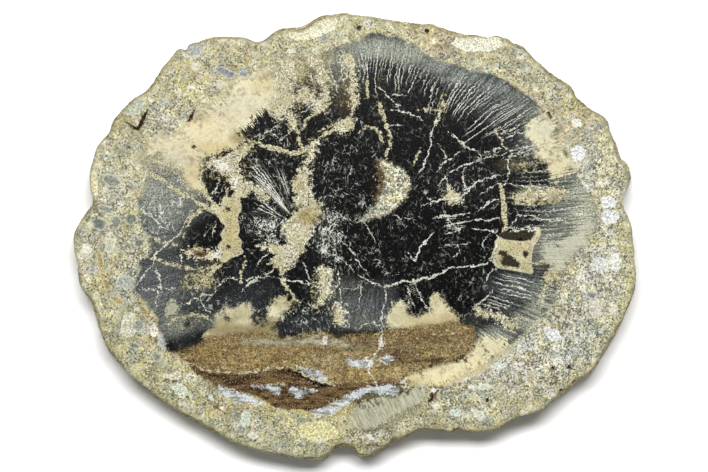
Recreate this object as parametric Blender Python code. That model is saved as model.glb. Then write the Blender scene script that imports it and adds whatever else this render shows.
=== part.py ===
"""A slice of petrified wood: sawn flat on both faces, polished on top, with its rough sandstone rim."""

import math

import bmesh
import bpy
from mathutils import Vector, noise

# Driving sizes, in metres
SLICE_WIDTH = 0.1707
SLICE_THICKNESS = 0.014

# The slice's span in the photograph, in pixels, which sets the scale of every pixel value below
PIXEL_LEFT = 70.0
PIXEL_RIGHT = 639.0
PIXEL_TOP = 10.5
PIXEL_BOTTOM = 462.5
METRES_PER_PIXEL = SLICE_WIDTH / (PIXEL_RIGHT - PIXEL_LEFT)

# Corners of the rim seen from above, in pixels, clockwise from the left end
RIM_PIXELS = (
    (70, 242), (73, 228), (80, 216), (89, 205), (90, 199), (87, 186), (88, 168), (94, 146), (106, 131),
    (111, 118), (121, 107), (131, 97), (144, 89), (154, 75), (163, 62), (175, 48), (179, 46), (183, 48),
    (187, 42), (197, 39), (211, 35), (236, 34), (245, 35), (254, 39), (264, 37), (273, 30), (283, 26),
    (296, 25), (308, 21), (318, 14), (330, 12), (342, 10.5), (352, 12), (368, 13), (384, 16), (400, 19),
    (424, 22), (430, 21), (442, 25), (466, 32), (480, 32), (490, 35), (496, 33), (507, 36), (515, 42),
    (524, 45), (539, 58), (558, 74), (575, 86), (578, 96), (596, 109), (605, 114), (611, 121), (613, 131),
    (619, 142), (624, 158), (630, 162), (634, 178), (629, 192), (626, 200), (628, 209), (633, 220),
    (635.5, 240), (637, 258), (639, 280), (636, 297), (627, 319), (616, 340), (604, 359), (593, 375),
    (578, 384), (575, 389), (562, 398), (541, 412), (520, 420.5), (508, 424.5), (499, 430), (487, 433),
    (473, 433), (467, 434), (460, 431.5), (453, 436), (440, 433), (422, 432), (408, 439), (402, 442),
    (394, 443), (389, 449), (383, 453), (377, 455), (371, 459.5), (359, 459), (354, 452), (346, 450),
    (336, 451), (327, 460), (319, 462.5), (303, 462), (287, 460), (268, 455), (250, 450), (234, 446),
    (219, 438), (199, 427), (175, 413.5), (168, 408), (154, 399), (138, 386), (119, 367), (104, 349),
    (96, 328), (88, 303), (77, 286), (74, 266), (70.5, 252),
)
RIM_STEP_PIXELS = 5.6

# Heights of the rim's rings, as fractions of the thickness
RING_HEIGHTS = (0.0, 0.05, 0.17, 0.3, 0.43, 0.56, 0.69, 0.82, 0.94, 1.0)

# How far the rim draws in at its lower and upper edges, and where it is widest
DRAW_IN_BELOW = 0.0021
DRAW_IN_ABOVE = 0.0009
WIDEST_HEIGHT = 0.62

# Lumps of the weathered rim: size of a lump, how far it stands out, and the steps of its ledges
LUMP_SIZE = 0.011
LUMP_RELIEF = 0.0017
PEBBLE_SIZE = 0.0046
PEBBLE_RELIEF = 0.0012
LEDGE_HEIGHTS = (0.33, 0.7)
LEDGE_RELIEF = 0.0007
LEDGE_WANDER = 0.14
LEDGE_SOFTNESS = 0.05

# The saw left the upper edge close to the widest outline: the share of the relief that it keeps
UPPER_EDGE_HEIGHT = 0.9
UPPER_EDGE_SHARE = 0.45

# Open pits in the polished face: centre in pixels, radius and depth in metres
PITS = (
    (359, 28, 0.0009, 0.0011),
    (427, 31, 0.0007, 0.0009),
    (553, 368, 0.0008, 0.0010),
    (569, 367, 0.0008, 0.0009),
    (561, 391, 0.0007, 0.0009),
    (194, 147, 0.0008, 0.0009),
    (487, 400, 0.0006, 0.0008),
)
PIT_SIDES = 8
PIT_FLOOR_SHARE = 0.4

# Open cracks in the polished face: a route in pixels, then width and depth in metres
CRACKS = (
    (((148, 110), (143, 119), (138, 130), (132, 127), (126, 122)), 0.0010, 0.0013),
    (((195, 110), (191, 117), (187, 123)), 0.0007, 0.0010),
    (((438, 390), (434, 396), (430, 401)), 0.0012, 0.0014),
    (((548, 111), (551, 118)), 0.0007, 0.0009),
)
CUT_ABOVE_FACE = 0.0004

STONE_COLOUR = (0.32, 0.29, 0.2, 1.0)
STONE_ROUGHNESS = 0.45
SHARP_ANGLE = math.radians(38)


def clear_scene():
    for item in list(bpy.data.objects):
        bpy.data.objects.remove(item, do_unlink=True)


def from_pixel(column, row):
    """The place of a photograph's pixel on the slice, in metres, with the slice centred on the origin."""
    across = (column - (PIXEL_LEFT + PIXEL_RIGHT) / 2) * METRES_PER_PIXEL
    along = ((PIXEL_TOP + PIXEL_BOTTOM) / 2 - row) * METRES_PER_PIXEL
    return Vector((across, along, 0.0))


def curve_point(before, start, end, after, share):
    """A point of the smooth curve that runs from start to end."""
    square = share * share
    cube = square * share
    return 0.5 * (
        2 * start
        + (end - before) * share
        + (2 * before - 5 * start + 4 * end - after) * square
        + (3 * start - before - 3 * end + after) * cube
    )


def rim_outline():
    """The rim seen from above: a smooth closed curve through its corners, in metres."""
    corners = [from_pixel(column, row) for column, row in RIM_PIXELS]
    step = RIM_STEP_PIXELS * METRES_PER_PIXEL
    outline = []
    for index, start in enumerate(corners):
        before = corners[index - 1]
        end = corners[(index + 1) % len(corners)]
        after = corners[(index + 2) % len(corners)]
        pieces = max(1, round((end - start).length / step))
        for piece in range(pieces):
            outline.append(curve_point(before, start, end, after, piece / pieces))
    return outline


def ledge(height, place):
    """How much the layers of the sandstone stand out at this height."""
    relief = 0.0
    for level in LEDGE_HEIGHTS:
        wander = LEDGE_WANDER * noise.noise(place / LUMP_SIZE + Vector((0, 0, level)))
        relief += math.tanh((height - level - wander) / LEDGE_SOFTNESS)
    return LEDGE_RELIEF * relief


def draw_in(place, height):
    """How far the rim's surface lies inside the widest outline, before its nearest point is taken off."""
    if height < WIDEST_HEIGHT:
        depth = DRAW_IN_BELOW * (1 - height / WIDEST_HEIGHT) ** 2
    else:
        depth = DRAW_IN_ABOVE * ((height - WIDEST_HEIGHT) / (1 - WIDEST_HEIGHT)) ** 2
    spot = place + Vector((0, 0, height * SLICE_THICKNESS))
    lump = LUMP_RELIEF * noise.noise(spot / LUMP_SIZE)
    pebble = PEBBLE_RELIEF * abs(noise.noise(spot / PEBBLE_SIZE))
    return depth - lump - pebble + ledge(height, place)


def rim_rings(outline):
    """The rim's rings from the lower face up, each a list of places as long as the outline."""
    depths = [[draw_in(place, height) for height in RING_HEIGHTS] for place in outline]
    rings = []
    for level, height in enumerate(RING_HEIGHTS):
        ring = []
        share = UPPER_EDGE_SHARE if height > UPPER_EDGE_HEIGHT else 1.0
        for place, depth in zip(outline, depths):
            inward = share * (depth[level] - min(depth))
            spot = place * (1 - inward / place.length)
            ring.append(Vector((spot.x, spot.y, height * SLICE_THICKNESS)))
        rings.append(ring)
    return rings


def slice_mesh():
    """The slab: its lower face raised ring by ring, each new ring moved to the rim's shape there."""
    rings = rim_rings(rim_outline())
    shape = bmesh.new()
    turn = shape.verts.layers.int.new("turn")
    first = [shape.verts.new(spot) for spot in rings[0]]
    for index, vertex in enumerate(first):
        vertex[turn] = index
    base = shape.faces.new(first)
    top = base
    for ring in rings[1:]:
        raised = bmesh.ops.extrude_face_region(shape, geom=[top])["geom"]
        for vertex in [item for item in raised if isinstance(item, bmesh.types.BMVert)]:
            vertex.co = ring[vertex[turn]]
        if top is not base:
            shape.faces.remove(top)
        top = [item for item in raised if isinstance(item, bmesh.types.BMFace)][0]
    bmesh.ops.recalc_face_normals(shape, faces=shape.faces)
    mesh = bpy.data.meshes.new("petrified_wood_slice")
    shape.to_mesh(mesh)
    shape.free()
    return mesh


def add_pit(shape, place, radius, depth):
    """A tapered plug that leaves a pit when it is cut out of the face."""
    height = depth + CUT_ABOVE_FACE
    made = bmesh.ops.create_cone(
        shape,
        cap_ends=True,
        segments=PIT_SIDES,
        radius1=radius * PIT_FLOOR_SHARE,
        radius2=radius,
        depth=height,
    )
    centre = place + Vector((0, 0, SLICE_THICKNESS + CUT_ABOVE_FACE - height / 2))
    bmesh.ops.translate(shape, verts=made["verts"], vec=centre)


def add_crack(shape, route, width, depth):
    """A wedge that follows a crack's route, widest at the face and narrow below, with pointed ends."""
    low = SLICE_THICKNESS - depth
    high = SLICE_THICKNESS + CUT_ABOVE_FACE
    last = len(route) - 1
    section = None
    for index, place in enumerate(route):
        ahead = route[min(index + 1, last)] - route[max(index - 1, 0)]
        side = Vector((-ahead.y, ahead.x, 0)).normalized() * width / 2
        if index in (0, last):
            side *= PIT_FLOOR_SHARE
        corners = [
            place + side + Vector((0, 0, high)),
            place - side + Vector((0, 0, high)),
            place - side * PIT_FLOOR_SHARE + Vector((0, 0, low)),
            place + side * PIT_FLOOR_SHARE + Vector((0, 0, low)),
        ]
        new_section = [shape.verts.new(corner) for corner in corners]
        if section is None:
            shape.faces.new(new_section)
        else:
            for turn in range(4):
                following = (turn + 1) % 4
                shape.faces.new((section[turn], section[following], new_section[following], new_section[turn]))
        section = new_section
    shape.faces.new(reversed(section))


def cutter():
    """All pits and cracks as one cutting shape."""
    shape = bmesh.new()
    for column, row, radius, depth in PITS:
        add_pit(shape, from_pixel(column, row), radius, depth)
    for pixels, width, depth in CRACKS:
        add_crack(shape, [from_pixel(column, row) for column, row in pixels], width, depth)
    bmesh.ops.recalc_face_normals(shape, faces=shape.faces)
    mesh = bpy.data.meshes.new("pits_and_cracks")
    shape.to_mesh(mesh)
    shape.free()
    item = bpy.data.objects.new("pits_and_cracks", mesh)
    item.hide_render = True
    item.display_type = "WIRE"
    bpy.context.scene.collection.objects.link(item)
    return item


def stone_material():
    material = bpy.data.materials.new("petrified_wood")
    material.use_nodes = True
    shader = material.node_tree.nodes["Principled BSDF"]
    shader.inputs["Base Color"].default_value = STONE_COLOUR
    shader.inputs["Roughness"].default_value = STONE_ROUGHNESS
    shader.inputs["Metallic"].default_value = 0.0
    return material


def build_slice():
    mesh = slice_mesh()
    mesh.materials.append(stone_material())
    stone = bpy.data.objects.new("petrified_wood_slice", mesh)
    bpy.context.scene.collection.objects.link(stone)
    cut = stone.modifiers.new("pits_and_cracks", "BOOLEAN")
    cut.operation = "DIFFERENCE"
    cut.solver = "EXACT"
    cut.object = cutter()
    mesh.shade_smooth()
    mesh.set_sharp_from_angle(angle=SHARP_ANGLE)
    return stone


clear_scene()
build_slice()
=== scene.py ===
# %% [markdown]
# # A polished slice of petrified wood
#
# The real object is one stone: a log that turned to black and grey silica, still wrapped in the pale
# sandstone it was buried in, then sawn across and polished. The shape is simple and the markings are not,
# so most of this lesson is about drawing mineral zones, veins and cracks on a plain slab. Every zone is a
# curve through listed points. The mesh stores how far each of its points lies from those curves, and the
# material turns the distances into sharp, irregular edges.

# %% Load the frame
import math
from functools import partial

import bmesh
import bpy
import numpy as np
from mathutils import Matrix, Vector, noise
from mathutils.bvhtree import BVHTree


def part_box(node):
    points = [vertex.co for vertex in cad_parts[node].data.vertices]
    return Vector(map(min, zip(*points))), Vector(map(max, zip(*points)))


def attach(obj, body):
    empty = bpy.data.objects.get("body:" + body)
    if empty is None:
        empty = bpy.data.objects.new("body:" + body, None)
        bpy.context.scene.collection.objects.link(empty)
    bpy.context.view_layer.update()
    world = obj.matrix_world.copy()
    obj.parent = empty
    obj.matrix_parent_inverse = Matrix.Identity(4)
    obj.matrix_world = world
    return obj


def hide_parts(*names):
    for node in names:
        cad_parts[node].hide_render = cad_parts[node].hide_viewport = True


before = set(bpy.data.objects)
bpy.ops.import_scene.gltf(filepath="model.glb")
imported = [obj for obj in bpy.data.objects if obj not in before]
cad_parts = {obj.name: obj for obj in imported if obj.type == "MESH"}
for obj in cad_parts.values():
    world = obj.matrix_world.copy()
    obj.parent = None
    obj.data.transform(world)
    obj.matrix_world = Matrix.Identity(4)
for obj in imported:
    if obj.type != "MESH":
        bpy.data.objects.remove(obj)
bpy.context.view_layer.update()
stone_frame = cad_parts["petrified_wood_slice"]
low_corner, high_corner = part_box("petrified_wood_slice")
THICKNESS = high_corner.z
print("the slab is", [round(1000 * side, 1) for side in high_corner - low_corner], "mm")

# %% [markdown]
# ## One scale for everything
#
# The markings were read off the photograph, so their places are written as its columns and rows. One
# helper turns them into millimetres on the slab, measured from its middle. The width of the slab in the
# frame sets the scale, so the drawing would follow if the slab were made larger.

# %% From the photograph's pixels to millimetres on the slab
PIXEL_LEFT = 70.0
PIXEL_RIGHT = 639.0
PIXEL_TOP = 10.5
PIXEL_BOTTOM = 462.5
MILLIMETRE = 0.001
PIXEL = (high_corner.x - low_corner.x) / MILLIMETRE / (PIXEL_RIGHT - PIXEL_LEFT)
PIXEL_CENTRE = np.array(((PIXEL_LEFT + PIXEL_RIGHT) / 2, (PIXEL_TOP + PIXEL_BOTTOM) / 2))


def places(pixels):
    """Columns and rows of the photograph as millimetres on the slab."""
    return (np.array(pixels, dtype=float) - PIXEL_CENTRE) * (PIXEL, -PIXEL)


print("one pixel is", round(PIXEL, 4), "mm")

# %% [markdown]
# ## The blank
#
# A square grid, raised to a slab, is the easiest closed shape to give an even net of points. Its upper face
# and its wall are divided once more than its lower face, because that is where the fine drawing goes. The
# square is then pressed into the outline: a point on the square's edge lands on the rim, and the rest
# follow in proportion, so no points crowd together as they would at the middle of a wheel of spokes.

# %% A square slab with an even net of points
GRID_SQUARES = 128
WALL_RINGS = 5
LOWER_FACE = 0.001

blank = bmesh.new()
bmesh.ops.create_grid(blank, x_segments=GRID_SQUARES, y_segments=GRID_SQUARES, size=1.0)
raised = bmesh.ops.extrude_face_region(blank, geom=blank.faces[:])["geom"]
lifted = [item for item in raised if isinstance(item, bmesh.types.BMVert)]
bmesh.ops.translate(blank, verts=lifted, vec=(0.0, 0.0, 1.0))
uprights = [edge for edge in blank.edges if abs(edge.verts[0].co.z - edge.verts[1].co.z) > 0.5]
bmesh.ops.subdivide_edges(blank, edges=uprights, cuts=WALL_RINGS - 1, use_grid_fill=True)
fine_faces = [face for face in blank.faces if face.calc_center_median().z > LOWER_FACE]
fine_edges = list({edge for face in fine_faces for edge in face.edges})
bmesh.ops.subdivide_edges(blank, edges=fine_edges, cuts=1, use_grid_fill=True)
bmesh.ops.recalc_face_normals(blank, faces=blank.faces)
print("the blank has", len(blank.faces), "faces")

# %% [markdown]
# ## Pressing the blank into the outline
#
# The frame's slab already has the true rim, with its lumps and ledges. For every point of the blank a ray
# is sent in from outside at the point's own height, and where it meets the frame's rim is how far that
# point's direction reaches. Each point also keeps its distance from the rim, because the weathered skin
# there has a colour of its own, and its outermost line gets painted shade.

# %% Press the square into the rim's outline
RAY_START = 0.2
EDGE_MARGIN = 0.00008

frame_points = [vertex.co.copy() for vertex in stone_frame.data.vertices]
frame_faces = [tuple(polygon.vertices) for polygon in stone_frame.data.polygons]
frame_surface = BVHTree.FromPolygons(frame_points, frame_faces)


def turn_of(across, along):
    """The direction on a round slab that a point of the square blank belongs to."""
    if abs(across) > abs(along):
        return math.pi / 4 * along / across + (0 if across > 0 else math.pi)
    if along == 0:
        return 0.0
    return math.pi / 2 - math.pi / 4 * across / along + (0 if along > 0 else math.pi)


def rim_reach(turn, height):
    """How far the frame's rim lies from the middle in this direction and at this height."""
    outward = Vector((math.cos(turn), math.sin(turn), 0.0))
    level = min(max(height, EDGE_MARGIN), THICKNESS - EDGE_MARGIN)
    hit = frame_surface.ray_cast(outward * RAY_START + Vector((0, 0, level)), -outward)[0]
    return math.hypot(hit.x, hit.y)


skin = blank.verts.layers.float.new("skin")
for vertex in blank.verts:
    across, along, up = vertex.co
    turn = turn_of(across, along)
    share = max(abs(across), abs(along))
    reach = rim_reach(turn, up * THICKNESS)
    vertex[skin] = reach * (1 - share) / MILLIMETRE
    vertex.co = (reach * share * math.cos(turn), reach * share * math.sin(turn), up * THICKNESS)
print("pressed", len(blank.verts), "points into the rim's outline")

# %% [markdown]
# ## Pits, grains and chips
#
# The polish left a few open pits where pebbles fell out, and four open cracks. The net is divided again
# around them, so that they have clean walls, and a ray sent straight down lets the points over a pit drop
# into it. The rim was never ground: it still has the surface that the sand grains give it, so its points
# move in by a fraction of a millimetre. They never move out, because the slab's size is settled.

# %% Open the pits and roughen the rim
PITS = ((359, 28), (427, 31), (553, 368), (569, 367), (561, 391), (194, 147), (487, 400))
OPEN_CRACKS = (
    ((148, 110), (143, 119), (138, 130), (132, 127), (126, 122)),
    ((195, 110), (191, 117), (187, 123)),
    ((438, 390), (434, 396), (430, 401)),
    ((548, 111), (551, 118)),
)
PIT_MARGIN = 2.2
DEEPEST_PIT = 0.002
SHARP_ANGLE = 50
GRAIN_SIZES = ((0.0026, 0.00030), (0.0011, 0.00022))

pit_places = np.vstack([places(PITS)] + [places(crack) for crack in OPEN_CRACKS]) * MILLIMETRE
top_faces = [face for face in blank.faces if face.calc_center_median().z > THICKNESS - EDGE_MARGIN]
centres = np.array([face.calc_center_median()[:2] for face in top_faces])
gaps = np.linalg.norm(centres[:, None] - pit_places[None], axis=2).min(axis=1)
near_pits = [face for face, gap in zip(top_faces, gaps) if gap < PIT_MARGIN * MILLIMETRE]
pit_edges = list({edge for face in near_pits for edge in face.edges})
bmesh.ops.subdivide_edges(blank, edges=pit_edges, cuts=1, use_grid_fill=True)
for vertex in blank.verts:
    if vertex.co.z > THICKNESS - EDGE_MARGIN:
        inner = vertex.co * (1 - EDGE_MARGIN / max(vertex.co.xy.length, EDGE_MARGIN))
        hit = frame_surface.ray_cast(Vector((inner.x, inner.y, 2 * THICKNESS)), Vector((0, 0, -1)))[0]
        if hit and THICKNESS - hit.z < DEEPEST_PIT:
            vertex.co.z = hit.z
    elif vertex.co.z > EDGE_MARGIN:
        sink = sum(depth * abs(noise.noise(vertex.co / size)) for size, depth in GRAIN_SIZES)
        vertex.co.xy *= 1 - sink / vertex.co.xy.length
slab = bpy.data.meshes.new("petrified_wood")
blank.to_mesh(slab)
blank.free()
slab.shade_smooth()
slab.set_sharp_from_angle(angle=math.radians(SHARP_ANGLE))
stone = bpy.data.objects.new("petrified_wood", slab)
bpy.context.scene.collection.objects.link(stone)
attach(stone, "root")
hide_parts("petrified_wood_slice")
slab.calc_loop_triangles()
print("the slab has", len(slab.loop_triangles), "triangles")

# %% [markdown]
# ## Drawing on the slab
#
# Three kinds of mark cover everything: regions, lines and washes. The first kind, a region, is a smooth
# closed curve through a few listed points. Each point of the slab stores how deep inside
# the curve it lies, and the material finds the edge where that depth passes through nought.

# %% Tools for regions
REACH = 2.5
CURVE_STEP = 0.8
point_data = np.empty(len(slab.vertices) * 3)
slab.vertices.foreach_get("co", point_data)
points = point_data.reshape(-1, 3)[:, :2] / MILLIMETRE
heights = point_data.reshape(-1, 3)[:, 2]


def curve(pixels, closed=False, step=CURVE_STEP):
    """A smooth curve through given points, as closely spaced places in millimetres."""
    knots = places(pixels)
    last = len(knots) if closed else len(knots) - 1
    before = np.roll(knots, 1, axis=0)
    after = np.roll(knots, -1, axis=0)
    if not closed:
        before[0] = knots[0]
        after[-1] = knots[-1]
    made = []
    for index in range(last):
        start = knots[index]
        end = knots[(index + 1) % len(knots)]
        leave = (after[index] - before[index]) / 2
        arrive = (after[(index + 1) % len(knots)] - before[(index + 1) % len(knots)]) / 2
        count = max(1, round(np.linalg.norm(end - start) / step))
        share = np.arange(count)[:, None] / count
        made.append(
            (2 * share**3 - 3 * share**2 + 1) * start
            + (share**3 - 2 * share**2 + share) * leave
            + (3 * share**2 - 2 * share**3) * end
            + (share**3 - share**2) * arrive
        )
    if not closed:
        made.append(knots[-1:])
    return np.vstack(made)


def near(low, high, reach):
    """The slab's points in a box, with a margin."""
    return np.flatnonzero(((points > low - reach) & (points < high + reach)).all(axis=1))


def region(*outlines):
    """How deep each point lies inside any of the outlines, in millimetres, and negative outside."""
    depth = np.full(len(points), -REACH)
    for outline in outlines:
        loop = curve(outline, closed=True)
        chosen = near(loop.min(axis=0), loop.max(axis=0), REACH)
        spots = points[chosen]
        gap = np.full(len(chosen), REACH)
        inside = np.zeros(len(chosen), dtype=bool)
        for start, end in zip(loop, np.roll(loop, -1, axis=0)):
            side = end - start
            offset = spots - start
            share = np.clip(offset @ side / max(side @ side, 1e-9), 0, 1)
            gap = np.minimum(gap, np.hypot(*(offset - share[:, None] * side).T))
            if start[1] != end[1]:
                crossed = (start[1] > spots[:, 1]) != (end[1] > spots[:, 1])
                edge_at = start[0] + (spots[:, 1] - start[1]) * side[0] / side[1]
                inside ^= crossed & (spots[:, 0] < edge_at)
        depth[chosen] = np.maximum(depth[chosen], np.where(inside, gap, -gap))
    return depth


def ring(column, row, wide, tall, lean=0.0, corners=10):
    """An egg-shaped outline around a place, slightly uneven, like a pebble's."""
    outline = []
    for corner in range(corners):
        turn = 2 * math.pi * corner / corners
        uneven = 1 + 0.16 * noise.noise(Vector((column, row, 1.7 * corner)))
        across = wide * uneven * math.cos(turn)
        along = tall * uneven * math.sin(turn)
        outline.append((
            column + across * math.cos(lean) - along * math.sin(lean),
            row + across * math.sin(lean) + along * math.cos(lean),
        ))
    return outline


def store(name, values):
    """Keep one number, three numbers or a colour for every point of the slab."""
    kind = {1: "FLOAT", 3: "FLOAT_VECTOR", 4: "FLOAT_COLOR"}[values.shape[1] if values.ndim > 1 else 1]
    slot = "value" if kind == "FLOAT" else "vector" if kind == "FLOAT_VECTOR" else "color"
    attribute = slab.attributes.new(name, kind, "POINT")
    attribute.data.foreach_set(slot, np.ascontiguousarray(values, dtype=np.float32).ravel())


print("drawing on", len(points), "points")

# %% [markdown]
# ## Wood and sandstone
#
# The first line to draw is where the log ended: its bark side, against the sand that filled in around it.
# A sand-filled hollow near the middle of the log counts as sandstone too, so its depth is taken away.

# %% Where the wood ends
WOOD_EDGE = (
    (327, 50), (336, 47), (345, 46), (352, 42), (360, 38), (370, 34), (378, 33), (388, 35), (398, 37),
    (408, 42), (415, 44), (420, 50), (430, 57), (445, 62), (457, 64), (468, 69), (480, 72), (495, 76),
    (507, 82), (519, 91), (530, 98), (539, 109), (548, 118), (557, 120), (561, 128), (559, 138),
    (560, 147), (567, 152), (570, 163), (575, 172), (583, 185), (590, 195), (596, 205), (598, 215),
    (597, 225), (590, 236), (580, 249), (573, 262), (562, 272), (558, 285), (555, 301), (541, 316),
    (528, 329), (513, 343), (502, 352), (490, 362), (478, 370), (465, 376), (446, 384), (432, 389),
    (426, 400), (417, 412), (398, 423), (380, 431), (362, 431), (350, 424), (343, 416), (330, 418),
    (316, 418), (302, 412), (287, 411), (272, 406), (255, 404), (240, 406), (228, 400), (217, 391),
    (208, 382), (198, 376), (188, 364), (176, 355), (167, 348), (165, 338), (159, 328), (156, 315),
    (149, 307), (143, 299), (135, 291), (136, 282), (140, 271), (139, 262), (149, 254), (151, 242),
    (148, 235), (143, 227), (138, 213), (140, 207), (137, 200), (143, 195), (145, 185), (149, 175),
    (148, 166), (140, 164), (137, 158), (143, 151), (152, 146), (156, 141), (166, 138), (176, 135),
    (184, 129), (191, 123), (197, 116), (207, 109), (215, 102), (225, 96), (229, 86), (240, 80),
    (255, 78), (268, 71), (280, 64), (290, 58), (305, 54), (316, 54),
)
SAND_HOLLOW = (
    (378, 160), (386, 161), (396, 166), (405, 172), (410, 180), (411, 188), (407, 197), (400, 202),
    (394, 208), (389, 213), (380, 216), (371, 218), (364, 222), (361, 220), (368, 212), (375, 204),
    (381, 195), (385, 186), (386, 177), (383, 169),
)
store("wood", np.minimum(region(WOOD_EDGE), -region(SAND_HOLLOW)))
print("drew the wood's edge through", len(WOOD_EDGE), "points")

# %% [markdown]
# ## Cream, tan and white silica
#
# Some parts of the wood were replaced in cream and tan instead of black. The cream patches have soft
# edges, the filled hollows have crisp ones, and the crumbled patches are grainy. A few white spots and one
# pale margin complete them.

# %% Where the wood turned cream
CREAM = (
    # the broad band at the upper left
    (
        (138, 157), (150, 149), (156, 141), (166, 138), (176, 135), (184, 129), (191, 123), (197, 116),
        (207, 109), (215, 102), (225, 96), (229, 86), (240, 80), (255, 77), (270, 71), (281, 76), (288, 88),
        (291, 98), (288, 108), (283, 116), (276, 111), (268, 105), (262, 110), (252, 121), (246, 129),
        (240, 133), (243, 140), (236, 146), (225, 150), (214, 153), (206, 160), (200, 167), (199, 175),
        (203, 186), (206, 196), (198, 190), (190, 184), (185, 174), (178, 166), (168, 160), (158, 156),
        (148, 158), (140, 162),
    ),
    # the patch at the right, beside the black wood
    (
        (530, 124), (537, 118), (546, 116), (553, 119), (557, 127), (558, 137), (559, 147), (564, 154),
        (569, 163), (571, 172), (562, 177), (553, 178), (549, 170), (544, 164), (536, 160), (534, 152),
        (538, 145), (532, 139), (529, 131),
    ),
    # clouds above the brown lens, left and right
    (
        (206, 338), (207, 329), (213, 324), (219, 316), (226, 318), (229, 311), (236, 313), (242, 306),
        (248, 308), (247, 316), (252, 323), (262, 325), (268, 318), (273, 309), (276, 300), (282, 295),
        (286, 302), (282, 311), (277, 321), (274, 330), (274, 339), (262, 336), (240, 336), (220, 340),
    ),
    (
        (386, 313), (390, 308), (397, 305), (404, 305), (407, 310), (414, 313), (424, 314), (429, 312),
        (430, 302), (432, 293), (437, 293), (442, 300), (448, 309), (455, 317), (458, 322), (440, 326),
        (420, 328), (400, 329), (391, 328), (386, 321),
    ),
    (
        (477, 338), (490, 338), (506, 341), (504, 352), (493, 359), (482, 366), (468, 373), (452, 380),
        (434, 385), (415, 385), (405, 380), (410, 374), (425, 369), (440, 364), (457, 360), (470, 352),
        (474, 345),
    ),
    ring(172, 308, 4.5, 7, 0.2),
)
FILLED = (
    # the square frame at the right
    (
        (498, 238), (504, 240), (512, 241), (522, 242), (530, 240), (534, 235), (536, 229), (540, 229),
        (538, 239), (533, 247), (531, 256), (531, 266), (532, 273), (520, 271), (508, 269), (498, 267),
        (494, 261), (495, 250),
    ),
    # the hollow of the left branch
    (
        (222, 210), (222, 203), (225, 197), (231, 199), (234, 193), (240, 194), (239, 201), (241, 207),
        (238, 214), (237, 221), (239, 229), (237, 236), (241, 241), (240, 248), (243, 252), (235, 256),
        (229, 258), (224, 262), (219, 257), (222, 251), (218, 246), (223, 241), (222, 233), (226, 227),
        (222, 221), (217, 214), (211, 208), (214, 203),
    ),
)
CRUMBLED = (
    # the knot in the middle of the small side branch, and the stalk above it
    (
        (285, 226), (288, 221), (294, 213), (302, 208), (312, 210), (317, 217), (316, 226), (311, 235),
        (305, 245), (301, 253), (296, 261), (291, 268), (284, 270), (279, 265), (272, 263), (274, 255),
        (268, 249), (260, 246), (270, 244), (281, 245), (286, 240), (284, 232),
    ),
    (
        (313, 142), (318, 141), (315, 150), (312, 160), (310, 170), (310, 180), (311, 194), (317, 203),
        (322, 214), (314, 214), (305, 208), (297, 207), (295, 197), (294, 186), (296, 176), (301, 167),
        (306, 158), (309, 148),
    ),
    # the shards above the left branch
    ((240, 178), (250, 182), (260, 188), (269, 197), (262, 199), (252, 192), (243, 192), (238, 188)),
    ((206, 162), (214, 158), (224, 156), (234, 153), (243, 144), (249, 142), (249, 150), (242, 158),
     (238, 166), (240, 176), (246, 184), (248, 192), (239, 195), (232, 188), (229, 180), (222, 174),
     (213, 170)),
    ((186, 254), (190, 250), (199, 250), (208, 251), (215, 249), (220, 253), (213, 260), (203, 259),
     (193, 258)),
    ((447, 186), (453, 189), (459, 194), (462, 200), (456, 204), (450, 200), (446, 195)),
    # wedges at the lower right, and the band above the square frame
    (
        (475, 305), (481, 309), (490, 310), (500, 313), (508, 317), (517, 322), (515, 328), (508, 328),
        (500, 323), (492, 318), (484, 315), (478, 312),
    ),
    (
        (549, 272), (558, 271), (557, 279), (551, 284), (547, 292), (543, 302), (540, 303), (541, 296),
        (545, 288), (549, 280),
    ),
    ((518, 194), (530, 190), (545, 189), (558, 189), (566, 191), (552, 195), (540, 198), (528, 201),
     (516, 200)),
    # the torn strip right of the knot, and pale shards at the bottom
    ((319, 268), (326, 267), (330, 275), (328, 285), (331, 293), (325, 299), (320, 302), (321, 290),
     (318, 280)),
    ((334, 306), (341, 304), (346, 312), (345, 324), (339, 327), (335, 318)),
    ((262, 64), (271, 57), (283, 60), (290, 55), (299, 60), (296, 67), (306, 69), (300, 76), (291, 79),
     (299, 86), (290, 92), (297, 99), (287, 103), (291, 112), (297, 120), (293, 129), (289, 122),
     (283, 116), (276, 118), (271, 106), (276, 94), (272, 78)),
    ((306, 58), (314, 54), (323, 60), (318, 67), (309, 66)),
    ((314, 72), (323, 69), (328, 77), (320, 84), (313, 79)),
    ((324, 86), (331, 90), (328, 99), (320, 95)),
    ((351, 74), (356, 78), (356, 90), (358, 102), (352, 104), (350, 92)),
    ((298, 92), (308, 90), (316, 96), (324, 100), (326, 108), (318, 112), (310, 104), (301, 102)),
    ((342, 54), (349, 53), (354, 60), (354, 68), (348, 70), (343, 62)),
    ((337, 122), (345, 118), (353, 120), (352, 128), (343, 132), (337, 129)),
)
WHITE_SPOTS = (
    ring(222, 165, 6.5, 4.5, 0.5), ring(235, 181, 2.5, 4, -0.4), ring(217, 254, 3, 4),
    ring(369, 363, 2.5, 4), ring(325, 341, 2, 3.5), ring(404, 383, 3, 2.5, 0.6), ring(433, 393, 1.6, 2.4),
    ring(297, 226, 2.5, 4), ring(381, 343, 1.5, 4), ring(556, 336, 5, 3, 0.4),
)
PALE_MARGIN = (
    (545, 246), (556, 242), (570, 237), (580, 230), (588, 220), (592, 230), (586, 241), (578, 250),
    (572, 262), (562, 271), (552, 268), (543, 260),
)
store("cream", region(*CREAM))
store("filled", region(*FILLED))
store("crumbled", region(*CRUMBLED))
store("white_spots", region(*WHITE_SPOTS))
store("pale_margin", region(PALE_MARGIN))
print("drew", len(CREAM), "cream patches and", len(CRUMBLED), "crumbled ones")

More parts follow.
